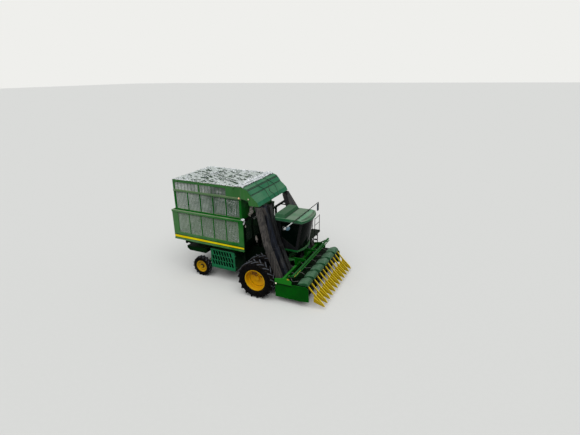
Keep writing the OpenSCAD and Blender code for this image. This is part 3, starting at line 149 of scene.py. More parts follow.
# Enamel on sheet steel: even colour under field dust, which lies on what faces up and in soft streaks on the sides;
# the coat is lighter along edges, partly rubbed and partly a painted highlight. Faces across Y may take another tone
# as painted light and shade, slot walls a near-black painted shade, and boxes in "patches" carry another tone over part
# of a piece, some of them painted light, some painted shade.
def dustyEnamel(name, paint, faded, dust, dustiness, gloss=0.34, rubAndHighlightTone="#5f9a62", rubAndHighlight=0.3,
                sideLitTone=None, fade=None, marks=(), shine=0.16, streaks=0.4, inner=None, patches=()):
    material, tree, shader, coords = startMaterial(name, {"Specular IOR Level": shine})
    facing = addXyz(tree, coords.node.outputs["Normal"])
    across = addMath(tree, "ABSOLUTE", facing["Y"])
    blotch = addPattern(tree, coords, 1.4, 4)
    streak = addPattern(tree, coords, 2.2, 4, (3.2, 3.2, 0.35))  # runs 90 mm wide down the sides
    grit = addPattern(tree, coords, 90, 2)  # 11 mm specks, coarser than real dust so that they show
    bleached = addBand(tree, blotch, 0.38, 0.68)
    if fade:
        # bleached by the sun, most at the first place along X and not at the second
        faint = addBand(tree, addXyz(tree, coords)["X"], *fade, 0.75, 0)
        bleached = addMath(tree, "MINIMUM", 1.0, addMath(tree, "ADD", multiply(tree, bleached, 0.4), faint))
    colour = addMix(tree, bleached, paint, faded)
    # faces across Y take another tone for how they are lit: painted light and shade
    if sideLitTone:
        colour = addMix(tree, addMath(tree, "GREATER_THAN", across, 0.8), colour, sideLitTone)
    settled = multiply(tree, addBand(tree, facing["Z"], 0.35, 0.95), addBand(tree, blotch, 0.3, 0.62, 0.35, 1))
    hanging = multiply(tree, addBand(tree, streak, 0.5, 0.74), streaks)
    cover = multiply(tree, addMath(tree, "MAXIMUM", settled, hanging), dustiness)
    speckled = multiply(tree, cover, addBand(tree, grit, 0.3, 0.62, 0.6, 1.15))
    colour = addMix(tree, speckled, colour, dust)
    # lighter along edges: rubbed paint and a painted highlight
    colour = addMix(tree, multiply(tree, addEdges(tree, 0.012), rubAndHighlight), colour, rubAndHighlightTone)
    if inner:
        # the walls of slots cut through a sheet that stands across Y, painted near black as the shade in the slots
        colour = addMix(tree, addMath(tree, "LESS_THAN", across, inner), colour, "#050a07")
    for low, high, share, tone in patches:
        mask = addBoxMask(tree, coords, at(*low), at(*high))
        colour = addMix(tree, multiply(tree, mask, share), colour, tone)
    for tone, centre, ring, reach, ragged in marks:
        # ragged marks round a wheel's axis, rings where ring is given, spots otherwise: stains, and painted shade at
        # steps and in a hole
        away = addMath(tree, "ABSOLUTE", addMath(tree, "SUBTRACT", addReach(tree, coords, centre), ring))
        rough = multiply(tree, addMath(tree, "SUBTRACT", addPattern(tree, coords, 12, 4), 0.5), ragged)
        inside = addBand(tree, addMath(tree, "ADD", away, rough), reach, reach * 0.75)
        colour = addMix(tree, inside, colour, tone)
    ripple = addBump(tree, addPattern(tree, coords, 4.5, 1), 0.12, 0.01)  # sheet ripples about 220 mm apart
    feed(tree, shader, {"Base Color": colour,
                        "Roughness": addMath(tree, "ADD", gloss, multiply(tree, speckled, 0.6)),
                        "Normal": addBump(tree, grit, 0.08, 0.002, {"Normal": ripple})})
    return material


# Vulcanised rubber: blue-black walls, a grey bloom on the lugs that is partly a painted highlight, and dried soil
# towards the tread
def soiledRubber(name, hub, treadRadius):
    material, tree, shader, coords = startMaterial(name, {"Specular IOR Level": 0.02})
    radius = addReach(tree, coords, hub)
    crumbs = addPattern(tree, coords, 26, 5)  # 40 mm patches of dried soil
    lugTop = addBand(tree, radius, treadRadius * 0.965, treadRadius * 0.99)
    near = addBand(tree, radius, treadRadius * 0.88, treadRadius * 0.97)
    soil = multiply(tree, addBand(tree, crumbs, 0.48, 0.68), addMath(tree, "ADD", multiply(tree, near, 0.3), 0.12))
    colour = addMix(tree, addBand(tree, addPattern(tree, coords, 5, 3), 0.35, 0.7), "#040405", "#0b0c0f")
    # grey on the lug tops: rubber bloom and a painted highlight
    bloomAndGlint = multiply(tree, lugTop, addBand(tree, crumbs, 0.3, 0.6, 0.45, 0.95))
    colour = addMix(tree, bloomAndGlint, colour, "#5d626b")
    feed(tree, shader, {"Base Color": addMix(tree, soil, colour, "#5e5346"),
                        "Roughness": addMath(tree, "ADD", 0.55, multiply(tree, soil, 0.4)),
                        "Normal": addBump(tree, crumbs, 0.3, 0.006)})
    return material


# Rotomoulded polyethylene ducts: black, greyed brown on the outer pair and blue-grey on the next, paler along the edges
# as a painted highlight, with long streaks down their length. Each band gives where one duct ends and the next begins,
# low and high.
def dustyPolyethylene(name):
    material, tree, shader, coords = startMaterial(name, {"Specular IOR Level": 0.25})
    place = addXyz(tree, coords)
    aside = addMath(tree, "ABSOLUTE", place["Y"])
    streak = addPattern(tree, coords, 3.0, 2, (4.5, 4.5, 0.12))  # 75 mm wide, as the rain ran down
    patch = addPattern(tree, coords, 1.6, 4)
    outer = addMath(tree, "GREATER_THAN", aside, addBand(tree, place["Z"], 2.72, 4.43, 1.775, 1.365))
    inner = addMath(tree, "LESS_THAN", aside, addBand(tree, place["Z"], 2.72, 4.43, 1.28, 1.122))
    dark = addMix(tree, outer, addMix(tree, inner, "#080a0f", "#0c0d0e"), "#1d1c1c")
    pale = addMix(tree, outer, addMix(tree, inner, "#1c222e", "#242527"), "#46423f")
    colour = addMix(tree, addBand(tree, streak, 0.36, 0.62), dark, pale)
    colour = addMix(tree, multiply(tree, addBand(tree, patch, 0.56, 0.74), 0.25), colour, "#5d5a56")
    # paler along the edges: painted highlight on the ridges between faces
    feed(tree, shader, {"Base Color": addMix(tree, addEdges(tree, 0.02, 0.3), colour, "#77726c"),
                        "Roughness": addBand(tree, streak, 0.3, 0.7, 0.42, 0.66),
                        "Normal": addBump(tree, addPattern(tree, coords, 140, 2), 0.1, 0.003)})
    return material


# Laminated safety glass, dark green tint, with a film of dust
def tintedGlass(name):
    material, tree, shader, coords = startMaterial(name, {"Transmission Weight": 0.55, "Specular IOR Level": 0.05,
                                                          "IOR": 1.1})
    film = addPattern(tree, coords, 3, 5)
    tint = addMix(tree, addBand(tree, film, 0.5, 0.8, 0, 0.2), "#04150d", "#13261c")
    feed(tree, shader, {"Base Color": tint, "Roughness": addBand(tree, film, 0.4, 0.8, 0.04, 0.2)})
    return material


# Seed cotton lint: matt white fibre, greyed in the hollows as painted shade with some dust, and streaked along the
# strands
def cottonLint(name, shadedHollow, crest):
    material, tree, shader, coords = startMaterial(name, {"Roughness": 0.95, "Sheen Weight": 0.3})
    clump = addPattern(tree, coords, 17, 5)  # 60 mm tufts
    fibre = addPattern(tree, coords, 120, 4, (1, 0.35, 1))
    # greyer in the hollows of the tufts: painted shade
    feed(tree, shader, {
        "Base Color": addMix(tree, addBand(tree, clump, 0.34, 0.6), shadedHollow, crest),
        "Normal": addBump(tree, fibre, 0.5, 0.004, {"Normal": addBump(tree, clump, 0.7, 0.02)})})
    return material


# Expanded steel mesh with lint caught in it, so that it gets paler from the front post to the rear one
def lintedWire(name, rear, front):
    material, tree, shader, coords = startMaterial(name, {"Roughness": 0.9, "Specular IOR Level": 0.1})
    along = addBand(tree, addXyz(tree, coords)["X"], axleX - 5.6, axleX - 1.0)
    blown = addMath(tree, "ADD", along, addBand(tree, addPattern(tree, coords, 1.6, 4), 0.3, 0.7, -0.2, 0.2))
    feed(tree, shader, {"Base Color": addMix(tree, blown, rear, front),
                        "Normal": addBump(tree, addPattern(tree, coords, 160, 2), 0.3, 0.003)})
    return material


# Any plain maker's finish with a slight mottling: moulded plastic, cast iron, ground steel, lamp glass
def mottled(name, dark, light, roughness, metallic=0.0, spread=6.0, bumpHeight=0.002, glow=None):
    lit = {"Emission Color": linear(glow), "Emission Strength": 0.35} if glow else {}
    material, tree, shader, coords = startMaterial(name, {"Metallic": metallic} | lit)
    patch = addPattern(tree, coords, spread, 4)
    feed(tree, shader, {
        "Base Color": addMix(tree, addBand(tree, patch, 0.35, 0.68), dark, light),
        "Roughness": addBand(tree, patch, 0.3, 0.7, roughness * 0.85, min(1, roughness * 1.2)),
        "Normal": addBump(tree, addPattern(tree, coords, spread * 22, 2), 0.15, bumpHeight)})
    return material


rimHub = (axleX, 0, 0.96)
rearHub = (axleX - 3.85, 0, 0.56)
greenEnamel = dustyEnamel("greenEnamel", "#006814", "#52844f", "#a3a58f", 0.62, fade=(axleX - 5.3, axleX - 1.3),
                          streaks=0.12)
floorEnamel = dustyEnamel("floorEnamel", "#0b5222", "#12602a", "#5f6a54", 0.4)
frameEnamel = dustyEnamel("frameEnamel", "#026010", "#0f6c20", "#a3a384", 0.75, streaks=0.12, shine=0.08, patches=(
    ((-5.7, -1.7, 4.69), (-1.0, 1.7, 4.82), 0.5, "#84997a"), ((-5.7, -1.7, 4.82), (-1.0, 1.7, 5.32), 0.35, "#668c60")))
# the hood's side plates take a lighter, yellower green for how they are lit: painted light
hoodEnamel = dustyEnamel("hoodEnamel", "#1c6a48", "#287652", "#6c8068", 0.5, 0.45, "#6fa585", 0.35, sideLitTone="#3f7a3c",
                         shine=0.08)
roofEnamel = dustyEnamel("roofEnamel", "#2c6c44", "#3d7850", "#7b8878", 0.8, 0.5, "#5c9068", 0.3, shine=0.03, patches=(
    # patches: the raised rear panel greyer, a mint band on the nose as painted highlight, the rim under the roof's edge
    # darker as painted shade
    ((0.29, -0.85, 3.79), (0.91, 0.85, 4.0), 0.7, "#35543c"), ((1.55, -0.85, 3.77), (2.1, 0.85, 3.9), 0.35, "#7ab08e"),
    ((0.2, -0.95, 3.6), (2.1, 0.95, 3.72), 0.55, "#24503a")))
# near-black green: the paint of the dark parts, and painted shade on the basket's front wall and the parts under it
deepPaintAndShade = dustyEnamel("deepPaintAndShade", "#010c04", "#031608", "#22261c", 0.2, rubAndHighlightTone="#0c2c14", shine=0.02)
# dark green, darkened further as painted shade on these low boxes
boxPaintAndShade = dustyEnamel("boxPaintAndShade", "#022408", "#062e0e", "#2c3424", 0.25, rubAndHighlightTone="#1c4a26", shine=0.02)
housingEnamel = dustyEnamel("housingEnamel", "#052a12", "#0a3519", "#3f4a38", 0.25,
                            patches=(((-3.135, -1.606, 0.705), (-1.655, -0.575, 1.765), 1, "#060707"),))
# pale green along the edges as wear and painted highlight; slot walls near black as painted shade
screenEnamel = dustyEnamel("screenEnamel", "#0e6a3e", "#1a7a4e", "#5f8068", 0.2, rubAndHighlightTone="#5cb98a", rubAndHighlight=0.6,
                           shine=0.1, inner=0.55)
# pale along the edges: wear and a painted highlight
coverEnamel = dustyEnamel("coverEnamel", "#235632", "#316641", "#6c7d70", 0.5, 0.36, "#93a89a", 0.6)
brightEnamel = dustyEnamel("brightEnamel", "#004806", "#005a08", "#3f8a3c", 0.45, rubAndHighlightTone="#1fa030", shine=0.05,
                           streaks=0.05, patches=(
    # patches: a lighter cap on the end panel, a near-black band under it as painted shadow, a greyer bar, and the arms
    # lightened as painted light
    ((1.0, -2.42, 1.0), (1.92, -2.28, 1.4), 0.6, "#2c9428"), ((1.0, -2.42, 0.93), (1.92, -2.28, 1.0), 0.8, "#021404"),
    ((1.94, -2.5, 1.5), (2.12, 2.5, 1.68), 0.6, "#24502c"), ((0.2, -0.75, 0.9), (1.32, 0.75, 1.56), 0.5, "#5a9a60")))
yellowEnamel = dustyEnamel("yellowEnamel", "#c09200", "#cda004", "#6f5320", 0.4, 0.33, "#f5d860", 0.3, shine=0.1,
                           # the rings: a dark one round the bolts, and a brown one at the disc's step as painted shade
                           marks=(("#2a1e08", rearHub, 0.10, 0.035, 0.04), ("#6a4a08", rearHub, 0.235, 0.012, 0.05)))
driveRimEnamel = dustyEnamel(
    "driveRimEnamel", "#d8a200", "#e3b004", "#8a6a2a", 0.3, 0.33, "#f7d64a", 0.3, marks=(
        # a darker orange patch above the hub, a brown ring at the disc's step as painted shade, a black smear and a
        # dark stain, and a near-black spot as painted shade in a hole
        ("#8a5c08", (axleX - 0.16, 0, 1.14), 0, 0.16, 0.5), ("#7d5406", rimHub, 0.44, 0.014, 0.06),
        ("#16130f", (axleX + 0.28, 0, 1.18), 0, 0.085, 0.32), ("#2a2114", (axleX + 0.19, 0, 1.08), 0, 0.03, 0.3),
        ("#0c0b0a", (axleX - 0.08, 0, 1.19), 0, 0.022, 0.03)),
    # the inner rims darkened near black: painted shade between the wheels
    patches=(((-0.7, -1.95, 0.3), (0.7, 1.95, 1.6), 0.85, "#120e06"),))
stripeEnamel = dustyEnamel("stripeEnamel", "#ffe000", "#fff000", "#b89a3a", 0.15, rubAndHighlightTone="#f8ec8a", rubAndHighlight=0.1,
                           shine=0.1)
# pale along the edges as wear and painted highlight; the broad sides a darker yellow as painted shade
dividerEnamel = dustyEnamel("dividerEnamel", "#ead000", "#f6de18", "#8a7a28", 0.2, 0.36, "#fff4a0", 0.6,
                            sideLitTone="#b89a08")
blackEnamel = dustyEnamel("blackEnamel", "#0a0b0c", "#131517", "#4a463e", 0.25, 0.45, "#323334", 0.3)
liftEnamel = dustyEnamel("liftEnamel", "#1c4a24", "#2a5a30", "#66706a", 0.4)
wornPrimer = mottled("wornPrimer", "#8f7a5c", "#c4ab88", 0.8, spread=9)
driveRubber = soiledRubber("driveRubber", rimHub, rimHub[2])
steerRubber = soiledRubber("steerRubber", rearHub, rearHub[2])
ductPlastic = dustyPolyethylene("ductPolyethylene")
cabGlass = tintedGlass("cabGlass")
lintFluff = cottonLint("lintFluff", "#949c9f", "#eef1f2")
lintMatted = cottonLint("lintMatted", "#7c887f", "#c9d0cc")
lintTrash = cottonLint("lintTrash", "#83776c", "#e0d8d0")
castIron = mottled("castIron", "#2b2c2d", "#3d3c3a", 0.7, 0.3)
groundSteel = mottled("groundSteel", "#b9babb", "#d3d4d5", 0.22, 1.0, 3.0)
upperWire = lintedWire("upperWire", "#f4f7f4", "#74827a")
lowerWire = lintedWire("lowerWire", "#d4ddd2", "#bfc9bd")
darkWire = mottled("paintedWire", "#2c4a34", "#55685a", 0.6, 0.1, 1.6)
# near black: drip seams on the roof, and painted shade in the hood's gaps and under the roof's edge
rubberSealAndShade = mottled("rubberSealAndShade", "#0b0c0c", "#1a1c1b", 0.7)
cordSheath = mottled("cordSheath", "#143d24", "#1f5232", 0.5, spread=9)
seatPiping = mottled("seatPiping", "#17181b", "#222429", 0.6, spread=12)
mirrorSilver = mottled("mirrorSilver", "#9fb6c2", "#b9cbd4", 0.08, 0.9, 4.0)
shellBlue = mottled("shellAbs", "#486b7f", "#63879a", 0.5)
zincPlate = mottled("zincPlate", "#a9adae", "#cfd3d2", 0.35, 0.8, 9.0)
greyHose = mottled("greyBraidedHose", "#3c3e3a", "#77786f", 0.6)
moulded = mottled("mouldedAbs", "#1a1b1c", "#26282a", 0.5)
seatCloth = mottled("seatCloth", "#23252a", "#33363c", 0.9, 0, 30.0, 0.004)
amberLens = mottled("amberLens", "#d9a070", "#f0c79a", 0.2, spread=20, glow="#e0a878")
brightLens = mottled("brightLens", "#f6f3d0", "#fffbe6", 0.2, spread=20, glow="#f4f0c8")
clearLens = mottled("clearLens", "#c9bf9a", "#ded6b8", 0.25, spread=20)
print("materials ready")


# helpers for meshes

sides = (("Right", -1), ("Left", 1))


def finishPiece(mesh, name, material, body, slotName, smooth=None):
    # smooth is the angle in degrees up to which edges are shaded round
    mesh.materials.clear()
    mesh.materials.append(material)
    piece = bpy.data.objects.new(name, mesh)
    scene.collection.objects.link(piece)
    if smooth is not None:
        mesh.shade_smooth() if smooth >= 180 else mesh.set_sharp_from_angle(angle=math.radians(smooth))
    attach(piece, body)
    return piece


def meshFrom(build):
    # a mesh made by a function that fills a bmesh
    work = bmesh.new()
    build(work)
    bmesh.ops.remove_doubles(work, verts=work.verts, dist=1e-6)
    bmesh.ops.recalc_face_normals(work, faces=work.faces)
    mesh = bpy.data.meshes.new("work")
    work.to_mesh(mesh)
    work.free()
    return mesh


def makePiece(build, *facts):
    return finishPiece(meshFrom(build), *facts)


def evaluated(holder):
    # the object's mesh with its modifiers applied
    mesh = bpy.data.meshes.new_from_object(holder.evaluated_get(bpy.context.evaluated_depsgraph_get()))
    holder.modifiers.clear()
    return mesh


def newHolder(mesh):
    holder = bpy.data.objects.new("holder", mesh)
    scene.collection.objects.link(holder)
    return holder


def angles(count):
    return [2 * math.pi * k / count for k in range(count)]


def addSkin(work, rings, closed=False):
    # quads between rings of points, closed to a loop or capped at both ends
    for a, b in zip(rings, rings[1:] + (rings[:1] if closed else [])):
        for k in range(len(a)):
            n = (k + 1) % len(a)
            work.faces.new([a[k], a[n], b[n], b[k]])
    if not closed:
        work.faces.new(list(reversed(rings[0])))
        work.faces.new(rings[-1])


def addSlab(work, low, high, bevel=0.0):
    # box between two corners, its edges rounded where bevel is given
    made = bmesh.ops.create_cube(work, size=1)["verts"]
    size = [max(abs(h - l), 1e-4) for l, h in zip(low, high)]
    bmesh.ops.scale(work, vec=size, verts=made)
    bmesh.ops.translate(work, vec=[(l + h) / 2 for l, h in zip(low, high)], verts=made)
    if bevel:
        edges = list({e for v in made for e in v.link_edges})
        bmesh.ops.bevel(work, geom=edges, offset=bevel, segments=2, affect="EDGES", clamp_overlap=True)


def addPlate(work, outline, y0, y1):
    # plate whose outline runs in X and Z
    near = [work.verts.new((x, y0, z)) for x, z in outline]
    far = [work.verts.new((x, y1, z)) for x, z in outline]
    work.faces.new(near)
    work.faces.new(list(reversed(far)))
    for i in range(len(outline)):
        j = (i + 1) % len(outline)
        work.faces.new([near[i], far[i], far[j], near[j]])


def addRound(work, a, b, radius, sides, endRadius=None):
    # capped cylinder or cone from a to b
    a, b = Vector(a), Vector(b)
    turn = (b - a).to_track_quat("Z", "Y").to_matrix().to_4x4()
    bmesh.ops.create_cone(work, cap_ends=True, segments=sides, radius1=radius, radius2=radius if endRadius is None
                          else endRadius, depth=(b - a).length, matrix=Matrix.Translation((a + b) / 2) @ turn)


def addTube(work, points, radius, sides, closed=False):
    # tube along a line of points, capped at its ends or closed to a loop
    points = [Vector(p) for p in points]
    last = len(points) - 1
    rings = []
    for i, p in enumerate(points):
        ahead = points[(i + 1) % len(points)] if closed else points[min(i + 1, last)]
        behind = points[i - 1] if closed else points[max(i - 1, 0)]
        along = (ahead - behind).normalized()
        side = side if i else along.orthogonal()
        side = (side - along * side.dot(along)).normalized()
        other = along.cross(side)
        rings.append([work.verts.new(p + radius * (side * math.cos(t) + other * math.sin(t))) for t in angles(sides)])
    addSkin(work, rings, closed)


def smoothLine(knots, steps):
    # Catmull-Rom line through the knots
    knots = [Vector(k) for k in knots]
    ends = [knots[0] * 2 - knots[1]] + knots + [knots[-1] * 2 - knots[-2]]
    line = []
    for a, b, c, d in zip(ends, ends[1:], ends[2:], ends[3:]):
        for k in range(steps):
            t = k / steps
            line.append(0.5 * (2 * b + (c - a) * t + (2 * a - 5 * b + 4 * c - d) * t * t
                               + (3 * b - a - 3 * c + d) * t ** 3))
    return line + [knots[-1]]


# helpers for geometry nodes

def startTree(name, inputs):
    tree = bpy.data.node_groups.new(name, "GeometryNodeTree")
    tree.interface.new_socket("Geometry", in_out="INPUT", socket_type="NodeSocketGeometry")
    kinds = {float: "NodeSocketFloat", int: "NodeSocketInt"}
    for label, value in inputs.items():
        tree.interface.new_socket(label, in_out="INPUT", socket_type=kinds[type(value)]).default_value = value
    tree.interface.new_socket("Material", in_out="INPUT", socket_type="NodeSocketMaterial")
    tree.interface.new_socket("Geometry", in_out="OUTPUT", socket_type="NodeSocketGeometry")
    return tree, addNode(tree, "NodeGroupInput")


def endTree(tree, given, geometry):
    real = addNode(tree, "GeometryNodeRealizeInstances", links={"Geometry": geometry})
    painted = addNode(tree, "GeometryNodeSetMaterial", links={"Geometry": real.outputs[0],
                                                              "Material": given.outputs["Material"]})
    addNode(tree, "NodeGroupOutput", links={"Geometry": painted.outputs[0]})


def runTree(tree, values, material, base=None):
    # the tree's result as a plain mesh
    holder = newHolder(base or bpy.data.meshes.new("empty"))
    modifier = holder.modifiers.new("Nodes", "NODES")
    modifier.node_group = tree
    for socket in tree.interface.items_tree:
        if socket.in_out == "INPUT" and socket.name in values:
            modifier[socket.identifier] = values[socket.name]
        if socket.in_out == "INPUT" and socket.name == "Material":
            modifier[socket.identifier] = material
    mesh = evaluated(holder)
    bpy.data.objects.remove(holder)
    return mesh


# rows of square wires in X and Z, woven as two layers a wire apart
def screenTree():
    inputs = {"Width": 1.0, "Height": 1.0, "Pitch": 0.04, "Wire": 0.004}
    tree, given = startTree("wireScreen", inputs)
    wide, high, pitch, wire = (given.outputs[k] for k in ("Width", "Height", "Pitch", "Wire"))
    layers = []
    for across, along, depth in ((wide, high, 0.5), (high, wide, -0.5)):
        count = addMath(tree, "ROUND", addMath(tree, "DIVIDE", across, pitch))
        step = addMath(tree, "DIVIDE", across, count)
        spacing = addNode(tree, "ShaderNodeCombineXYZ", links={"X" if along is high else "Z": step})
        line = addNode(tree, "GeometryNodeMeshLine", {"mode": "OFFSET"},
                       {"Count": addMath(tree, "ADD", count, 1), "Offset": spacing.outputs[0]})
        size = addNode(tree, "ShaderNodeCombineXYZ", links={"X": wire, "Y": wire, "Z": along}
                       if along is high else {"X": along, "Y": wire, "Z": wire})
        rod = addNode(tree, "GeometryNodeMeshCube", links={"Size": size.outputs[0]})
        half = multiply(tree, along, 0.5)
        shift = addNode(tree, "ShaderNodeCombineXYZ", links={"Z" if along is high else "X": half,
                                                             "Y": multiply(tree, wire, depth)})
        moved = addNode(tree, "GeometryNodeTransform", links={"Geometry": rod.outputs[0],
                                                              "Translation": shift.outputs[0]})
        rods = addNode(tree, "GeometryNodeInstanceOnPoints", links={"Points": line.outputs[0],
                                                                    "Instance": moved.outputs[0]})
        layers.append(rods.outputs[0])
    joined = addNode(tree, "GeometryNodeJoinGeometry")
    for layer in layers:
        tree.links.new(layer, joined.inputs[0])
    endTree(tree, given, joined.outputs[0])
    return tree


# hexagon bolts with washers round a circle in X and Z, heads towards -Y
def boltTree():
    tree, given = startTree("boltRing", {"Count": 10, "Radius": 0.2, "Head": 0.018, "Height": 0.02})
    ring = addNode(tree, "GeometryNodeMeshCircle", {"fill_type": "NONE"},
                   {"Vertices": given.outputs["Count"], "Radius": given.outputs["Radius"]})
    parts = addNode(tree, "GeometryNodeJoinGeometry")
    for sides, grow, tall in ((16, 1.5, 0.3), (6, 1.0, 1.0)):
        disc = addNode(tree, "GeometryNodeMeshCylinder", {"Vertices": sides},
                       {"Radius": multiply(tree, given.outputs["Head"], grow),
                        "Depth": multiply(tree, given.outputs["Height"], tall)})
        lift = addNode(tree, "ShaderNodeCombineXYZ",
                       links={"Z": multiply(tree, given.outputs["Height"], tall / 2)})
        raised = addNode(tree, "GeometryNodeTransform", links={"Geometry": disc.outputs["Mesh"],
                                                               "Translation": lift.outputs[0]})
        tree.links.new(raised.outputs[0], parts.inputs[0])
    placed = addNode(tree, "GeometryNodeInstanceOnPoints", links={"Points": ring.outputs[0],
                                                                  "Instance": parts.outputs[0]})
    turned = addNode(tree, "GeometryNodeTransform", {"Rotation": (math.pi / 2, 0, 0)},
                     {"Geometry": placed.outputs[0]})
    endTree(tree, given, turned.outputs[0])
    return tree


# tufts of lint scattered over a base surface, flattened lumps of many sizes, thinned by a noise
def tuftTree():
    inputs = {"Density": 60.0, "Small": 0.03, "Large": 0.09, "Patch": 1.2, "Threshold": 0.45, "Seed": 1}
    tree, given = startTree("lintTufts", inputs)
    scatter = addNode(tree, "GeometryNodeDistributePointsOnFaces", links={
        "Mesh": given.outputs["Geometry"], "Density": given.outputs["Density"], "Seed": given.outputs["Seed"]})
    place = addNode(tree, "GeometryNodeInputPosition").outputs[0]
    cloud = addNode(tree, "ShaderNodeTexNoise", {"Detail": 2.0}, {"Scale": given.outputs["Patch"], "Vector": place})
    thin = addNode(tree, "FunctionNodeCompare", {"operation": "LESS_THAN"},
                   {"A": cloud.outputs[0], "B": given.outputs["Threshold"]})
    kept = addNode(tree, "GeometryNodeDeleteGeometry", {"domain": "POINT"},
                   {"Geometry": scatter.outputs[0], "Selection": thin.outputs[0]})
    lump = addNode(tree, "GeometryNodeMeshIcoSphere", {"Radius": 1.0, "Subdivisions": 2})
    rough = addNode(tree, "ShaderNodeTexNoise", {"Scale": 1.6, "Detail": 2.0}, {"Vector": place})
    swell = addNode(tree, "ShaderNodeVectorMath", {"operation": "SCALE"}, {
        0: place, "Scale": addMath(tree, "SUBTRACT", multiply(tree, rough.outputs[0], 2.2), 0.9)})
    shaped = addNode(tree, "GeometryNodeSetPosition", links={"Geometry": lump.outputs[0], "Offset": swell.outputs[0]})
    flat = addNode(tree, "GeometryNodeTransform", {"Scale": (1.5, 0.8, 0.5)}, {"Geometry": shaped.outputs[0]})
    turn = addNode(tree, "FunctionNodeRandomValue", {"data_type": "FLOAT_VECTOR", 0: (-0.3, -0.3, 0),
                                                     1: (0.3, 0.3, 6.28)}, {"Seed": given.outputs["Seed"]})
    size = addNode(tree, "FunctionNodeRandomValue", {"data_type": "FLOAT"},
                   {2: given.outputs["Small"], 3: given.outputs["Large"], "Seed": given.outputs["Seed"]})
    tufts = addNode(tree, "GeometryNodeInstanceOnPoints", links={
        "Points": kept.outputs[0], "Instance": flat.outputs[0], "Rotation": turn.outputs[0], "Scale": size.outputs[1]})
    endTree(tree, given, tufts.outputs[0])
    return tree


wireScreen, boltRing, lintTufts = screenTree(), boltTree(), tuftTree()
print("node trees ready")


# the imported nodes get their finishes

def paint(material, *names):
    for name in names:
        for slot in nodes[name].material_slots:
            slot.material = material


paint(greenEnamel, "basket_right", "basket_left", "basket_rear_wall")
paint(floorEnamel, "cab_floor")
paint(frameEnamel, "top_right", "top_left", "top_front_wall", "top_rear_wall", "roof_lid", "knuckle_right",
      "knuckle_left", "rear_axle", "front_axle")
# dark green with painted shade
paint(boxPaintAndShade, "rear_boxes", "side_tank")
# near-black green, also painted shade on the front wall under the hood and the parts under the basket
paint(deepPaintAndShade, "chassis", "basket_floor", "duct_stand", "air_fan", "platform", "basket_posts", "basket_front_wall",
      "row_1", "row_2", "row_3", "row_4", "row_5", "row_6")
paint(housingEnamel, "engine_housing")
paint(brightEnamel, "header_frame")
paint(coverEnamel, "row_covers")
paint(hoodEnamel, "hood")
paint(roofEnamel, "cab_roof")
paint(screenEnamel, "screen_door")
paint(driveRimEnamel, "drive_rims_right", "drive_rims_left")
paint(yellowEnamel, "steer_rim_right", "steer_rim_left")
paint(dividerEnamel, "dividers")
paint(blackEnamel, "ladder", "cab_frame", "cab_door", "mirror_bar", "tip_barrels")
paint(liftEnamel, "lift_barrels")
paint(driveRubber, "outer_tyre_right", "inner_tyre_right", "outer_tyre_left", "inner_tyre_left")
paint(steerRubber, "steer_tyre_right", "steer_tyre_left")
paint(ductPlastic, "upper_ducts", "lower_ducts", "duct_ports")
paint(cabGlass, "cab_glass", "door_glass")
paint(castIron, "engine")
paint(groundSteel, "tip_rods", "lift_rods")
print("node finishes set")


# expanded metal screens in the basket's windows, paler where lint and dust have settled in the mesh

screens = {
    # name: (width, height, pitch, wire, turns about Z and X in degrees, place of the low corner, body, material)
    "screenLowerFront": (2.96, 1.21, 0.03, 0.006, 90, 0, (-1.076, -1.48, 2.37), "basket", darkWire),
    "screenLowerRear": (2.96, 1.21, 0.026, 0.0072, 90, 0, (-5.444, -1.48, 2.37), "basket", lowerWire),
    "screenUpperRear": (2.94, 1.47, 0.026, 0.0072, 90, 0, (-5.274, -1.47, 3.73), "basket", upperWire),
    "screenRoof": (4.1, 3.1, 0.035, 0.006, 0, -90, (-5.28, -1.55, 5.336), "roof", darkWire),
}
for sideName, side in sides:
    screens |= {
        "screenLower" + sideName: (3.88, 1.21, 0.026, 0.0072, 0, 0, (-5.15, side * 1.644, 2.37), "basket", lowerWire),
        "screenUpper" + sideName: (4.0, 0.99, 0.026, 0.0072, 0, 0, (-5.22, side * 1.554, 3.73), "basket", upperWire),
        "screenStrip" + sideName: (3.27, 0.44, 0.03, 0.0065, 0, 0, (-5.24, side * 1.554, 4.79), "basket", upperWire)}
for name, (width, height, pitch, wire, turn, tilt, place, body, material) in screens.items():
    mesh = runTree(wireScreen, {"Width": width, "Height": height, "Pitch": pitch, "Wire": wire}, material)
    mesh.transform(Matrix.Translation(at(*place)) @ Matrix.Rotation(math.radians(turn), 4, "Z")
                   @ Matrix.Rotation(math.radians(tilt), 4, "X"))
    finishPiece(mesh, name, material, body, "green_paint")
print("screens made")


# stripes along the basket's sides

stripes = {"rear": -5.49, "front": -1.03, "wall": 1.7, "middle": 2.15, "drop": 0.01, "high": (0.125, 0.085),
           "film": 0.003,
           # places above the middle at the rear and front
           "lines": ((0.075, 0.055), (-0.075, -0.055), (0.108, 0.082)), "lineHigh": (0.016, 0.012)}


def addStripe(work, side, offsets, heights, film):
    # a film on the basket's wall that narrows and drops towards the front
    rear, front = (stripes["middle"] + offset for offset in offsets)
    front -= stripes["drop"]
    halfRear, halfFront = (high / 2 for high in heights)
    x0, x1 = stripes["rear"] + axleX, stripes["front"] + axleX
    y0, y1 = sorted((side * stripes["wall"], side * (stripes["wall"] + film)))
    addPlate(work, [(x0, rear - halfRear), (x1, front - halfFront), (x1, front + halfFront), (x0, rear + halfRear)],
             y0, y1)


def addLines(work, side):
    for offsets in stripes["lines"]:
        addStripe(work, side, offsets, stripes["lineHigh"], stripes["film"] * 0.8)


for sideName, side in sides:
    makePiece(lambda work: addStripe(work, side, (0, 0), stripes["high"], stripes["film"]), "stripe" + sideName,
              stripeEnamel, "basket", "yellow_paint")
    makePiece(lambda work: addLines(work, side), "stripeLines" + sideName, deepPaintAndShade, "basket", "dark_green_paint")
print("stripes made")


# rub strip on the upper rail, worn through to its primer

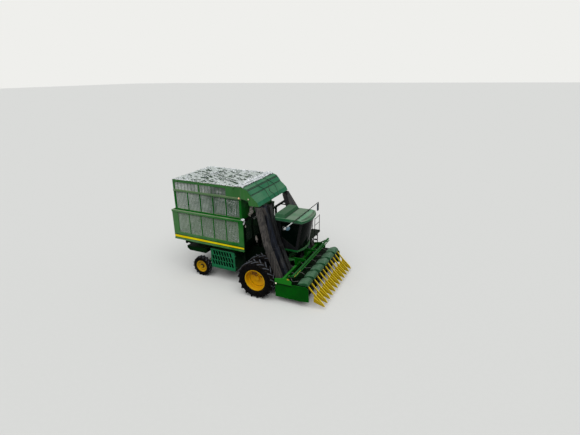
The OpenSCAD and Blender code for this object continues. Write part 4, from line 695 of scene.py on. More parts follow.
rubStrip = {"x": (-2.12, -1.16), "rail": 1.6, "z": 4.752, "high": 0.042, "proud": 0.006}


def addRubStrip(work, side):
    (x0, x1), z, high = rubStrip["x"], rubStrip["z"], rubStrip["high"]
    y0, y1 = sorted((side * rubStrip["rail"], side * (rubStrip["rail"] + rubStrip["proud"])))
    addSlab(work, at(x0, y0, z), at(x1, y1, z + high), 0.002)


for sideName, side in sides:
    makePiece(lambda work: addRubStrip(work, side), "rubStrip" + sideName, wornPrimer, "basket", "green_paint", 40)


# lint left on the machine: a felted mat on the roof's mesh, rolls along its edges and loose clumps

mats = {
    # a grid in X and Y at one height, or in X and Z at one y; "fall" is how much less is kept at its front
    "lintRoof": {"x": (-5.27, -1.14), "y": (-1.57, 1.57), "z": 5.338, "cell": 0.034, "thick": 0.030, "keep": 0.30,
                 "along": 1.4, "across": 4.2, "turn": 24, "seed": 3, "body": "roof", "material": lintMatted},
    "lintRoofStrands": {"x": (-5.24, -1.16), "y": (-1.56, 1.56), "z": 5.356, "cell": 0.022, "thick": 0.045,
                        "keep": 0.66, "along": 2.6, "across": 7.5, "turn": -14, "seed": 17, "body": "roof",
                        "material": lintFluff},
    "lintRoofVeins": {"x": (-5.24, -1.16), "y": (-1.56, 1.56), "z": 5.352, "cell": 0.022, "thick": 0.05, "keep": 0.74,
                      "along": 6.0, "across": 2.4, "turn": 20, "seed": 29, "body": "roof", "material": lintFluff},
}
films = {
    # name: (x range, y on each side, z range, keep, fall, seed of each side)
    "lintFilmUpper": ((-5.2, -1.24), (-1.544, 1.540), (3.75, 4.70), -0.3, 1.3, (4, 6)),
    "lintFilmStrip": ((-5.2, -2.0), (-1.544, 1.540), (4.81, 5.21), -0.2, 1.2, (8, 18)),
    "lintFilmLower": ((-5.12, -1.30), (-1.630, 1.626), (2.40, 3.55), 0.5, 0.25, (10, 12)),
}
for name, (x, ys, z, keep, fall, seeds) in films.items():
    for (sideName, side), y, seed in zip(sides, ys, seeds):
        mats[name + sideName] = {"x": x, "y": y, "z": z, "keep": keep, "fall": fall, "seed": seed, "cell": 0.03,
                                 "thick": 0.006, "along": 1.5, "across": 3.0, "turn": 8, "body": "basket",
                                 "material": lintMatted}


rimWidth = 0.16  # of the thicker lint round the roof
matSkin = 0.005


def addMat(work, mat):
    # cells of a grid kept where a stretched ridged noise is high, so that streaks of mat and bare mesh alternate
    upright = isinstance(mat["z"], tuple)
    (x0, x1), (v0, v1), cell = mat["x"], mat["z"] if upright else mat["y"], mat["cell"]
    columns, rows = int((x1 - x0) / cell), int((v1 - v0) / cell)
    turn = Matrix.Rotation(math.radians(mat["turn"]), 2)
    seed = Vector((mat["seed"], mat["seed"] * 0.7, 0))
    kept, corners = {}, {}
    for i in range(columns + 1):
        for j in range(rows + 1):
            x, v = x0 + (x1 - x0) * i / columns, v0 + (v1 - v0) * j / rows
            along, across = turn @ Vector((x, v))
            streak = noise.noise(Vector((along * mat["along"], across * mat["across"], 0)) + seed)
            fine = noise.noise(Vector((along * mat["along"] * 4, across * mat["across"] * 3, 4)) + seed)
            rim = 0 if upright else max(0, 1 - min(v - v0, v1 - v, x - x0, x1 - x) / rimWidth)
            # high on the ridges of the streaks and at the rim
            kept[i, j] = (0.75 - abs(streak) * 2.1 + fine * 0.42 + rim * 0.22 - mat["keep"]
                          - mat.get("fall", 0) * i / columns)
            jitter = noise.noise_vector(Vector((x * 23, v * 23, 7)) + seed) * cell * 0.3
            rise = max(0.002, max(0, kept[i, j]) * mat["thick"] * 1.6 + fine * mat["thick"] * 0.22)
            corners[i, j] = (at(x + jitter.x, mat["y"] + (rise if mat["y"] < 0 else -rise), v + jitter.y) if upright
                             else at(x + jitter.x, v + jitter.y, mat["z"] + rise))
    made = {}
    for i in range(columns):
        for j in range(rows):
            keys = ((i, j), (i + 1, j), (i + 1, j + 1), (i, j + 1))
            if sum(kept[k] for k in keys) > 0:
                for k in keys:
                    made[k] = made.get(k) or work.verts.new(corners[k])
                work.faces.new([made[k] for k in keys])
    bmesh.ops.solidify(work, geom=work.faces[:], thickness=-matSkin)


def addClump(work, place, size, seed, detail=2):
    # a lump of fibre: an icosphere pushed about by two sizes of noise, longest along its own X
    made = bmesh.ops.create_icosphere(work, subdivisions=detail, radius=1)["verts"]
    turn = Matrix.Rotation(seed * 1.7, 3, "Z")
    offset = Vector((seed * 3.1, 0, seed))
    for vert in made:
        shape = 1 + 0.55 * noise.noise(vert.co * 1.3 + offset) + 0.35 * noise.noise(vert.co * 3.1 + offset)
        flat = Vector((vert.co.x * size[0], vert.co.y * size[1], vert.co.z * size[2])) * shape
        vert.co = place + turn @ flat


for name, mat in mats.items():
    piece = makePiece(lambda work: addMat(work, mat), name, mat["material"], mat["body"], None, 180)
    print(name, len(piece.data.polygons), "faces")

rolls = {
    # name: (from, to, spread across and up, clumps, sizes, seed, body)
    "lintRollRear": (at(-1.20, -1.56, 5.375), at(-1.20, 1.56, 5.375), (0.09, 0.05), 64, (0.05, 0.15), 5, "roof"),
    "lintRollHood": (at(-1.02, -1.58, 5.37), at(-1.02, 1.58, 5.37), (0.015, 0.03), 46, (0.04, 0.09), 8, "basket"),
    "lintRollNear": (at(-5.25, -1.56, 5.35), at(-1.2, -1.56, 5.35), (0.03, 0.015), 70, (0.022, 0.055), 11, "roof"),
    "lintRollFar": (at(-5.25, 1.56, 5.35), at(-1.2, 1.56, 5.35), (0.03, 0.015), 60, (0.022, 0.055), 14, "roof"),
}


def addRoll(work, start, end, spread, count, sizes, seed):
    pick = random.Random(seed)
    across = (end - start).cross(Vector((0, 0, 1))).normalized()
    for k in range(count):
        thin = noise.noise(Vector((k * 0.23, seed, 0))) + 0.5
        size = sizes[0] + (sizes[1] - sizes[0]) * pick.random() * min(1, max(0.1, thin))
        place = start.lerp(end, (k + pick.uniform(-0.4, 0.4)) / count)
        place += across * pick.uniform(-1, 1) * spread[0] + Vector((0, 0, pick.uniform(-0.3, 1) * spread[1]))
        addClump(work, place, (size * 1.7, size * 0.7, size * 0.55), seed + k)


for name, (start, end, spread, count, sizes, seed, body) in rolls.items():
    makePiece(lambda work: addRoll(work, start, end, spread, count, sizes, seed), name, lintFluff, body, None, 180)

clumps = (
    # name, fibre, then place and half sizes of each lump
    ("lintCorner", lintFluff, (
        ((-1.0, -1.69, 3.70), (0.06, 0.05, 0.035)), ((-1.03, -1.62, 3.71), (0.09, 0.05, 0.04)),
        ((-0.99, -1.60, 3.60), (0.04, 0.04, 0.09)), ((-0.99, -1.66, 3.49), (0.03, 0.03, 0.06)),
        ((-1.08, -1.68, 3.71), (0.08, 0.04, 0.03)))),
    ("lintWall", lintTrash, (
        ((-1.06, -0.80, 3.92), (0.08, 0.13, 0.20)), ((-1.06, -0.70, 4.12), (0.06, 0.10, 0.13)),
        ((-1.07, -0.92, 3.74), (0.06, 0.09, 0.10)))),
    ("lintLower", lintTrash, (
        ((-0.99, -0.52, 2.26), (0.05, 0.09, 0.15)), ((-0.99, -0.44, 2.10), (0.04, 0.06, 0.10)),
        ((-0.99, -1.5, 3.30), (0.03, 0.03, 0.06)))),
)


def addLumps(work, lumps):
    for k, (place, size) in enumerate(lumps):
        addClump(work, at(*place), size, k + 21, 3)


for name, fibre, lumps in clumps:
    makePiece(lambda work: addLumps(work, lumps), name, fibre, "basket", None, 180)

windowTufts = {
    # name: (x range, z range, y, density per square metre, threshold, seed)
    "lintWindowsUpper": ((-5.18, -1.28), (3.78, 4.68), -1.562, 60.0, 0.50, 9),
    "lintWindowsLower": ((-5.1, -1.34), (2.45, 3.5), -1.655, 45.0, 0.52, 12),
}
for name, ((x0, x1), (z0, z1), y, density, threshold, seed) in windowTufts.items():
    patch = bpy.data.meshes.new("patch")
    patch.from_pydata([tuple(at(x, y, z)) for x, z in ((x0, z0), (x1, z0), (x1, z1), (x0, z1))], [], [(0, 1, 2, 3)])
    values = {"Density": density, "Small": 0.006, "Large": 0.026, "Patch": 2.2, "Threshold": threshold, "Seed": seed}
    finishPiece(runTree(lintTufts, values, lintFluff, patch), name, lintFluff, "basket", None, 180)
print("lint laid")


# sheets of the hood: lapped strips, with near-black bands under each lip as painted shadow

hoodSheets = {
    # outline of the hood in X and Z from its rear edge to its lower lip
    "outline": ((-1.12, 5.38), (-0.73, 5.22), (-0.55, 4.97), (-0.20, 4.67), (-0.11, 4.48)),
    # start and end along a stretch of the outline (0..1), then the lift at each
    "strips": ((0, 0.36, 0.90, 0.010, 0.030), (1, 0.15, 0.88, 0.010, 0.026), (2, 0.07, 0.985, 0.004, 0.006),
               (3, 0.03, 0.94, 0.003, 0.003)),
    # near-black bands under the lips: painted shadow in the gaps between the sheets
    "shadowBands": ((0, 0.02, 0.37, 0.006), (0, 0.89, 1.0, 0.005), (1, 0.0, 0.16, 0.005), (1, 0.87, 1.0, 0.004),
              (2, 0.0, 0.08, 0.003)),
    "halfWidth": 1.585, "sheet": 0.004,
}


def hoodPlace(stretch, share, lift):
    a, b = (Vector((x, 0, z)) for x, z in hoodSheets["outline"][stretch:stretch + 2])
    out = Vector((a.z - b.z, 0, b.x - a.x)).normalized()
    place = a.lerp(b, share) + out * lift
    return at(place.x, 0, place.z)


def addHoodPlate(work, outline):
    addPlate(work, [(p.x, p.z) for p in outline], -hoodSheets["halfWidth"], hoodSheets["halfWidth"])


def addHoodStrip(work, stretch, start, end, liftStart, liftEnd):
    a, b = hoodPlace(stretch, start, liftStart), hoodPlace(stretch, end, liftEnd)
    normal = (b - a).cross(Vector((0, 1, 0))).normalized()
    normal = normal if normal.z > 0 else -normal
    c, d = b + normal * hoodSheets["sheet"], a + normal * hoodSheets["sheet"]
    lip = b - normal * (liftEnd - 0.001)
    inner = lip - (b - a).normalized() * 0.003
    under = b - (b - a).normalized() * 0.003
    addHoodPlate(work, (a, under, inner, lip, c, d))


def addHoodStrips(work):
    for strip in hoodSheets["strips"]:
        addHoodStrip(work, *strip)


# near-black bands under the lips, painted shadow
def addHoodShadowBands(work):
    for stretch, start, end, lift in hoodSheets["shadowBands"]:
        addHoodPlate(work, [hoodPlace(stretch, share, high) for share, high in (
            (start, 0.0005), (end, 0.0005), (end, lift), (start, lift))])


makePiece(addHoodStrips, "hoodSheets", hoodEnamel, "basket", "green_paint", 30)
makePiece(addHoodShadowBands, "hoodShadowBands", rubberSealAndShade, "basket", "duct_plastic", 30)

hoodCords = {
    # name: knots as (stretch of the outline, share, y)
    "hoodCordNear": ((0, 0.16, -0.27), (0, 0.40, -0.34), (0, 0.68, -0.52), (0, 0.96, -0.60), (1, 0.5, -0.46),
                     (1, 0.96, -0.28), (2, 0.4, -0.30), (2, 0.97, -0.40), (3, 0.5, -0.38), (3, 0.92, -0.35)),
    "hoodCordMiddle": ((1, 0.06, 0.30), (1, 0.30, 0.30), (1, 0.6, 0.30), (1, 0.96, 0.22), (2, 0.35, 0.06),
                       (2, 0.7, 0.02), (2, 0.97, 0.10), (3, 0.5, 0.14), (3, 0.92, 0.12)),
    "hoodCordFar": ((0, 0.16, 0.38), (0, 0.40, 0.41), (0, 0.7, 0.46), (0, 0.97, 0.52), (1, 0.5, 0.66), (1, 0.97, 0.78),
                    (2, 0.4, 0.74), (2, 0.75, 0.62), (2, 0.98, 0.55), (3, 0.5, 0.52), (3, 0.92, 0.50)),
    "diameter": 0.026,
}


def hoodCordPoint(stretch, share, y):
    # on the sheets, or on the hood itself where a cord comes out ahead of the first sheet
    lift = 0.004 if share < 0.27 else {0: 0.034, 1: 0.030, 2: 0.011, 3: 0.008}[stretch]
    return hoodPlace(stretch, share, lift + hoodCords["diameter"] / 2) + Vector((0, y, 0))


# a hose or cord that is seen from end to end or goes back into the machine
def makeCord(name, knots, radius, material, body, steps):
    points = smoothLine(knots, steps)
    cord = makePiece(lambda work: addTube(work, points, radius, 12), name, material, body, "duct_plastic", 180)


for name in ("hoodCordNear", "hoodCordMiddle", "hoodCordFar"):
    makeCord(name, [hoodCordPoint(*knot) for knot in hoodCords[name]], hoodCords["diameter"] / 2, cordSheath,
             "basket", 2)
hook = {"place": hoodPlace(2, 0.42, 0.006) + Vector((0, 0.02, 0)), "ring": 0.03, "wire": 0.006}


def addHook(work):
    base, r = hook["place"], hook["ring"]
    addSlab(work, base - Vector((0.035, 0.03, 0.03)), base + Vector((0.035, 0.03, 0.004)), 0.003)
    addTube(work, [base + Vector((0.02, r * math.cos(t), 0.012 + r * math.sin(t))) for t in angles(16)[:9]],
            hook["wire"], 8)


makePiece(addHook, "hoodHook", castIron, "basket", "cast_iron", 40)
print("hood dressed")


# cab roof: gutter round its edge, drip lines, a near-black band along its foot as painted shade, and a dark strip in
# front of the raised rear panel as its painted shadow

roofTrim = {"rear": 0.28, "side": 0.9, "foot": 3.62, "crown": 3.80, "arcCentre": 0.04, "arcRadius": 2.0,
            "seam": (0.915, 3.80), "dripLines": (0.085, 0.13)}


def roofLine(inset, z):
    # the roof's plan from rear right round the nose to rear left
    half = roofTrim["side"] - inset
    reach = roofTrim["arcRadius"] - inset
    turn = math.asin(half / reach)
    nose = [at(roofTrim["arcCentre"] + reach * math.cos(t), reach * math.sin(t), z)
            for t in (-turn + 2 * turn * k / 20 for k in range(21))]
    return [at(roofTrim["rear"] + inset, -half, z)] + nose + [at(roofTrim["rear"] + inset, half, z)]


def addGutter(work):
    addTube(work, roofLine(-0.012, roofTrim["foot"] + 0.045), 0.016, 8)


def addRoofSeamsAndShade(work):
    # near-black band along the roof's foot: painted shade under its edge
    addTube(work, roofLine(-0.002, roofTrim["foot"] + 0.015), 0.009, 6)
    for inset in roofTrim["dripLines"]:
        addTube(work, roofLine(inset, roofTrim["crown"] + 0.001)[1:-1], 0.005, 6)
    # near-black strip at the front foot of the raised rear panel: its painted shadow
    x, z = roofTrim["seam"]
    addSlab(work, at(x, -0.84, z - 0.001), at(x + 0.03, 0.84, z + 0.004), 0.001)


makePiece(addGutter, "cabRoofGutter", roofEnamel, "chassis", "green_paint", 180)
makePiece(addRoofSeamsAndShade, "cabRoofSeamsAndShade", rubberSealAndShade, "chassis", "duct_plastic", 60)


# seat: crowned cushion and back with sewn channels, on a sprung pedestal beside the console

seat = {
    # low and high corners of each pad, how far a point may swell, lean about Y in degrees and number of sewn lines
    "cushion": {"low": (0.70, -0.25, 2.485), "high": (1.19, 0.25, 2.60), "cap": 0.022, "lean": 0, "channels": 5},
    "back": {"low": (0.66, -0.24, 2.62), "high": (0.77, 0.24, 3.20), "cap": 0.022, "lean": -9, "channels": 5},
    "voxel": 0.010, "pressure": 4.0, "frames": 20, "piping": 0.005,
    # half width of the sewn field as a share of the pad's, then depth and width of a sewn line and of the seam
    "field": 0.72, "sewn": (0.009, 0.011), "seam": (0.010, 0.03),
}


def padMesh(pad):
    # box with rounded sides that pull in between its corners, its broad faces crowned
    low, high = Vector(pad["low"]), Vector(pad["high"])
    size, middle = high - low, (low + high) / 2
    thin = min(range(3), key=lambda a: size[a])
    work = bmesh.new()
    addSlab(work, low, high)
    bmesh.ops.subdivide_edges(work, edges=work.edges[:], cuts=14, use_grid_fill=True)
    for vert in work.verts:
        share = [(vert.co[a] - middle[a]) / (size[a] / 2) for a in range(3)]
        broad = [a for a in range(3) if a != thin]
        reach = (abs(share[broad[0]]) ** 5 + abs(share[broad[1]]) ** 5) ** 0.2
        pull = 1 / max(1, reach)
        edge = max(abs(share[a]) for a in broad)
        for a in broad:
            other = broad[1] if a == broad[0] else broad[0]
            waist = 1 - 0.03 * (1 - share[other] ** 2) * abs(share[a]) ** 6
            vert.co[a] = middle[a] + share[a] * size[a] / 2 * pull * waist
        vert.co[thin] = middle[thin] + share[thin] * size[thin] / 2 * (1 - 0.42 * edge ** 5)
    mesh = bpy.data.meshes.new("pad")
    work.to_mesh(mesh)
    work.free()
    return mesh


def inflate(mesh, pad):
    # swell the pad with cloth under pressure, each point held within the cap
    holder = newHolder(mesh)
    remesh = holder.modifiers.new("Remesh", "REMESH")
    remesh.mode = "VOXEL"
    remesh.voxel_size = seat["voxel"]
    holder.data = flat = evaluated(holder)
    start = [v.co.copy() for v in flat.vertices]
    cloth = holder.modifiers.new("Cloth", "CLOTH")
    cloth.settings.use_pressure = True
    cloth.settings.uniform_pressure_force = seat["pressure"]
    cloth.settings.effector_weights.gravity = 0
    for step in range(1, seat["frames"] + 1):
        scene.frame_set(step)
    swollen = holder.evaluated_get(bpy.context.evaluated_depsgraph_get()).data
    for vert, now, was in zip(flat.vertices, [v.co.copy() for v in swollen.vertices], start):
        shift = now - was
        if shift.length > pad["cap"]:
            shift *= pad["cap"] / shift.length
        if pad["lean"] == 0 and was.z < pad["low"][2] + 0.03:
            shift.z = max(0, shift.z)  # flat where it rests
        vert.co = was + shift
    holder.modifiers.clear()
    scene.frame_set(1)
    bpy.data.objects.remove(holder)
    return flat


def sewChannels(mesh, pad, axis):
    # sewn lines across the broad face and a seam round it
    low, high = Vector(pad["low"]), Vector(pad["high"])
    thin = 0 if pad["lean"] else 2
    lines = [low[axis] + (high[axis] - low[axis]) * k / (pad["channels"] + 1) for k in range(1, pad["channels"] + 1)]
    field, (depth, width), (seamDepth, seamWidth) = seat["field"], seat["sewn"], seat["seam"]
    for vert in mesh.vertices:
        near = min(abs(vert.co[axis] - line) for line in lines)
        aside = abs(vert.co.y) / (high.y - low.y) * 2
        if vert.co[thin] <= (low[thin] + high[thin]) / 2:
            continue
        if aside < field:
            vert.co[thin] -= depth * math.exp(-(near / width) ** 2) * min(1, (field - aside) / 0.06)
        vert.co[thin] -= seamDepth * math.exp(-((aside - field - 0.02) / seamWidth) ** 2)


def subdivided(mesh):
    holder = newHolder(mesh)
    modifier = holder.modifiers.new("Subdivision", "SUBSURF")
    modifier.levels = modifier.render_levels = 1
    result = evaluated(holder)
    bpy.data.objects.remove(holder)
    return result


def pipingLine(mesh, pad):
    # where the welt runs: the outermost points at mid thickness
    work = bmesh.new()
    work.from_mesh(mesh)
    tree = bvhtree.BVHTree.FromBMesh(work)
    work.free()
    low, high = Vector(pad["low"]), Vector(pad["high"])
    middle = (low + high) / 2
    line = []
    for t in angles(72):
        out = Vector((0, math.cos(t), math.sin(t))) if pad["lean"] else Vector((math.cos(t), math.sin(t), 0))
        line.append(tree.ray_cast(middle + out, -out)[0] + out * 0.001)
    return line


for label in ("cushion", "back"):
    pad = seat[label]
    mesh = subdivided(inflate(padMesh(pad), pad))
    welt = pipingLine(mesh, pad)
    sewChannels(mesh, pad, 2 if pad["lean"] else 0)
    pivot = Matrix.Translation((pad["low"][0], 0, pad["low"][2]))
    lean = pivot @ Matrix.Rotation(math.radians(pad["lean"]), 4, "Y") @ pivot.inverted()
    lean = Matrix.Translation((axleX, 0, 0)) @ lean
    mesh.transform(lean)
    piece = finishPiece(mesh, "seat" + label.capitalize(), seatCloth, "chassis", "seat_fabric", 180)
    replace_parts(piece, "cab_seat")
    makePiece(lambda work: addTube(work, [lean @ p for p in welt], seat["piping"], 8, True),
              "seatWelt" + label.capitalize(), seatPiping, "chassis", "seat_fabric", 180)

controls = {
    "bellows": {"x": (0.78, 1.05), "y": 0.16, "z": (2.14, 2.44), "folds": 7, "deep": 0.022, "cuff": 0.03},
    "console": {"low": (0.66, -0.54, 2.14), "high": (1.32, -0.32, 2.76)},
    "column": {"foot": (1.40, 0, 2.14), "top": (1.315, 0, 2.83), "radius": 0.05},
    "wheel": {"centre": (1.30, 0, 2.87), "radius": 0.19, "rim": 0.016, "tilt": -20, "spokes": 3},
}


def addBellows(work):
    # rubber folds between two cuffs, in and out by turns
    spec = controls["bellows"]
    (x0, x1), y, (z0, z1), cuff = spec["x"], spec["y"], spec["z"], spec["cuff"]
    steps = spec["folds"] * 2
    rings = []
    for k in range(steps + 1):
        inset, z = 0 if k % 2 else spec["deep"], z0 + cuff + (z1 - z0 - cuff * 2) * k / steps
        rings.append([work.verts.new(at(*corner, z)) for corner in (
            (x0 + inset, inset - y), (x1 - inset, inset - y), (x1 - inset, y - inset), (x0 + inset, y - inset))])
    addSkin(work, rings)
    addSlab(work, at(x0 - 0.01, -y - 0.01, z0), at(x1 + 0.01, y + 0.01, z0 + cuff), 0.006)
    addSlab(work, at(x0 - 0.03, -y - 0.03, z1 - cuff), at(x1 + 0.05, y + 0.03, z1 + 0.035), 0.008)
    addSlab(work, at(0.69, -0.10, z1), at(0.74, 0.10, z1 + 0.22), 0.01)  # upright of the back


def addConsole(work):
    low, high = (Vector(controls["console"][k]) for k in ("low", "high"))
    outline = [(low.x, low.z), (high.x - 0.12, low.z), (high.x, low.z + 0.30), (high.x, high.z - 0.10),
               (high.x - 0.16, high.z), (low.x + 0.30, high.z - 0.05), (low.x, high.z - 0.08)]
    addPlate(work, [(x + axleX, z) for x, z in outline], low.y, high.y)
    bmesh.ops.bevel(work, geom=work.edges[:], offset=0.012, segments=3, affect="EDGES", clamp_overlap=True)
    addSlab(work, at(low.x + 0.02, low.y, high.z - 0.075), at(low.x + 0.30, high.y, high.z - 0.03), 0.018)
    lever = at(high.x - 0.26, (low.y + high.y) / 2, high.z - 0.03)
    addRound(work, lever, lever + Vector((-0.03, 0, 0.10)), 0.011, 12)
    addRound(work, lever + Vector((-0.03, 0, 0.10)), lever + Vector((-0.045, 0, 0.19)), 0.026, 16, 0.02)
    for k in range(4):
        knob = at(high.x - 0.10 + k * 0.022, low.y + 0.06 + (k % 2) * 0.08, high.z - 0.035 - k * 0.012)
        addRound(work, knob - Vector((0, 0, 0.01)), knob + Vector((0, 0, 0.022)), 0.009, 12, 0.007)


def addColumn(work):
    spec = controls["column"]
    foot, top = at(*spec["foot"]), at(*spec["top"])
    addRound(work, foot, top, spec["radius"], 20, spec["radius"] * 0.8)
    addSlab(work, foot - Vector((0.09, 0.12, 0)), foot + Vector((0.07, 0.12, 0.05)), 0.015)
    addSlab(work, top - Vector((0.02, 0.09, 0.10)), top + Vector((0.07, 0.09, 0.02)), 0.02)
    wheel = controls["wheel"]
    hub = at(*wheel["centre"])
    tilt = Matrix.Rotation(math.radians(wheel["tilt"]), 3, "Y")
    ring = [hub + tilt @ (Vector((math.cos(t), math.sin(t), 0)) * wheel["radius"]) for t in angles(48)]
    addTube(work, ring, wheel["rim"], 10, True)
    addRound(work, hub - tilt @ Vector((0, 0, 0.03)), hub + tilt @ Vector((0, 0, 0.012)), 0.045, 20, 0.035)
    for t in angles(wheel["spokes"]):
        rim = hub + tilt @ (Vector((math.cos(t), math.sin(t), 0)) * wheel["radius"])
        addRound(work, hub, rim, 0.012, 10, 0.009)


for name, build in (("seatPedestal", addBellows), ("cabConsole", addConsole), ("steeringColumn", addColumn)):
    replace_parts(makePiece(build, name, moulded, "chassis", "black_paint", 40), "cab_seat")

display = {"low": (1.20, -0.50, 2.80), "high": (1.23, -0.34, 2.92)}


def addDisplay(work):
    low, high = at(*display["low"]), at(*display["high"])
    addSlab(work, low, high, 0.006)
    middle = (low + high) / 2
    addRound(work, (middle.x, middle.y, low.z - 0.10), (middle.x, middle.y, low.z), 0.012, 12)


makePiece(addDisplay, "cabDisplay", moulded, "chassis", "black_paint", 40)
print("cab fitted")


# mirrors: glass in a rimmed shell, with clamps on the bar

mirrors = {
    "round": {"centre": (1.50, -1.78, 3.70), "radius": 0.115, "turn": -52},
    "tall": {"low": (1.515, 1.885, 3.385), "high": (1.56, 2.075, 3.785)},
    "rod": {"x": 1.56, "z": 3.86, "sleeve": 0.024, "pale": (-1.98, -1.45)},
}


roundRadius = mirrors["round"]["radius"]
roundCentre = at(*mirrors["round"]["centre"])
roundFace = Matrix.Rotation(math.radians(mirrors["round"]["turn"]), 3, "Z")


def addMirrorShells(work):
    profile = ((0.0, 0.045), (0.55, 0.04), (0.85, 0.02), (1.0, -0.004), (1.0, -0.02), (0.93, -0.02), (0.9, -0.008))
    rings = []
    for share, lift in profile:
        r = max(0.002, share * roundRadius)
        rings.append([work.verts.new(roundCentre + roundFace @ Vector((lift, r * math.cos(t), r * math.sin(t))))
                      for t in angles(28)])
    addSkin(work, rings)
    addSlab(work, at(*mirrors["tall"]["low"]), at(*mirrors["tall"]["high"]), 0.014)


def addMirrorGlass(work):
    out = roundFace @ Vector((1, 0, 0))
    addRound(work, roundCentre - out * 0.012, roundCentre - out * 0.022, roundRadius * 0.9, 28, roundRadius * 0.86)
    low, high = (Vector(mirrors["tall"][k]) for k in ("low", "high"))
    addSlab(work, at(low.x - 0.003, low.y + 0.014, low.z + 0.014), at(low.x + 0.004, high.y - 0.014, high.z - 0.014),
            0.002)


def addMirrorRods(work):
    rod = mirrors["rod"]
    y0, y1 = rod["pale"]
    addRound(work, at(rod["x"], y0, rod["z"]), at(rod["x"], y1, rod["z"]), rod["sleeve"], 16)
    for y in (y0, y1):
        addRound(work, at(rod["x"], y - 0.02, rod["z"]), at(rod["x"], y + 0.02, rod["z"]), rod["sleeve"] * 1.35, 16)
    stem = roundCentre + Vector((0.01, 0, 0))
    addRound(work, stem, at(rod["x"] - 0.005, stem.y, rod["z"] - 0.01), 0.012, 10)
    clamp = at(rod["x"] - 0.02, -2.17, rod["z"])
    addSlab(work, clamp - Vector((0.035, 0.045, 0.05)), clamp + Vector((0.05, 0.045, 0.05)), 0.008)
    addSlab(work, clamp + Vector((-0.03, -0.10, -0.03)), clamp + Vector((0.04, -0.045, 0.04)), 0.008)


makePiece(addMirrorShells, "mirrorShells", shellBlue, "chassis", "black_paint", 40)
makePiece(addMirrorGlass, "mirrorGlass", mirrorSilver, "chassis", "tinted_glass", 40)
makePiece(addMirrorRods, "mirrorClamps", zincPlate, "chassis", "black_paint", 40)
print("mirrors made")


# cooler screen: rolled lip round the door, ledge under it, hinges and a latch

doorTrim = {"x": (-3.15, -1.64), "z": (0.69, 1.78), "face": -1.678, "lip": 0.035, "proud": 0.016}


def addDoorTrim(work):
    (x0, x1), (z0, z1), face = doorTrim["x"], doorTrim["z"], doorTrim["face"]
    lip, proud = doorTrim["lip"], doorTrim["proud"]
    for low, high in (((x0, z0), (x0 + lip, z1)), ((x1 - lip, z0), (x1, z1)), ((x0 + lip, z1 - lip), (x1 - lip, z1)),
                      ((x0 + lip, z0), (x1 - lip, z0 + lip))):
        addSlab(work, at(low[0], face - proud, low[1]), at(high[0], face + 0.002, high[1]), 0.005)
    addSlab(work, at(x0 + 0.01, face - proud * 2.1, z0 + 0.004), at(x1 - 0.01, face - proud * 0.9, z0 + 0.024), 0.003)


def addDoorFittings(work):
    (x0, x1), (z0, z1), face = doorTrim["x"], doorTrim["z"], doorTrim["face"] - doorTrim["proud"]
    latch = at(x1 - 0.055, face, (z0 + z1) / 2)
    addSlab(work, latch - Vector((0.014, 0.012, 0.06)), latch + Vector((0.014, 0.004, 0.06)), 0.004)
    addRound(work, latch, latch + Vector((0, -0.028, 0)), 0.011, 14)
    addSlab(work, latch + Vector((-0.055, -0.034, -0.01)), latch + Vector((0.012, -0.024, 0.012)), 0.003)
    for z in (z0 + 0.16, z1 - 0.16):
        addSlab(work, at(x0 + 0.004, face - 0.008, z - 0.05), at(x0 + 0.05, face + 0.004, z + 0.05), 0.003)
        addRound(work, at(x0 + 0.012, face - 0.008, z - 0.055), at(x0 + 0.012, face - 0.008, z + 0.055), 0.008, 12)


makePiece(addDoorTrim, "screenDoorLip", screenEnamel, "screen_door", "green_paint", 40)
makePiece(addDoorFittings, "screenDoorFittings", screenEnamel, "screen_door", "green_paint", 40)
print("screen door trimmed")


# guard of swaged sheet between the housing and the right front wheel; the tipping cylinder needs the left side

guard = {"x": (-1.58, -0.32), "z": (0.90, 1.92), "y": -0.745, "sheet": 0.004, "ribs": 4}


def addGuard(work):
    (x0, x1), (z0, z1), y, sheet = guard["x"], guard["z"], guard["y"], guard["sheet"]
    addSlab(work, at(x0, y - sheet, z0), at(x1, y + sheet, z1), 0.003)
    for k in range(guard["ribs"]):
        x = x0 + (x1 - x0) * (k + 0.5) / guard["ribs"]
        addSlab(work, at(x - 0.06, y - sheet * 3, z0 + 0.08), at(x + 0.06, y + sheet * 3, z1 - 0.08), 0.008)
    for z in (z0, z1):
        addSlab(work, at(x0, y - 0.015, z - 0.006), at(x1, y + 0.015, z + 0.006), 0.003)


makePiece(addGuard, "frameGuard", deepPaintAndShade, "chassis", "dark_green_paint", 40)
print("guard made")


# wheels: bolts, hub caps and valves

wheelSets = (
    # body, x, y of the disc's face, z, bolt circle, bolts, head, hub radius, valve radius, finish, slot of the cap
    ("drive", 0.0, 2.176, 0.96, 0.125, 10, 0.010, 0.07, 0.33, driveRimEnamel, "yellow_paint"),
    ("rear", -3.85, 1.636, 0.56, 0.11, 8, 0.015, 0.062, 0.2, castIron, "cast_iron"),
)


def addHubCap(work, hub, side, radius, valve):
    # domed cap turned about the axle, a ring behind it and a bent valve stem
    profile = ((1.15, 0.0), (1.15, 0.10), (1.0, 0.14), (0.98, 0.35), (0.8, 0.5), (0.45, 0.58), (0.02, 0.6))
    addSkin(work, [[work.verts.new(hub + Vector((r * math.cos(t), side * out, r * math.sin(t))) * radius)
                    for t in angles(32)] for r, out in profile])
    stem = hub + Vector((valve * math.cos(2.2), 0, valve * math.sin(2.2)))
    addTube(work, smoothLine([stem, stem + Vector((0.0, side * 0.02, 0.0)), stem + Vector((0.012, side * 0.04, 0.012)),
                              stem + Vector((0.03, side * 0.05, 0.03))], 3), 0.006, 8)


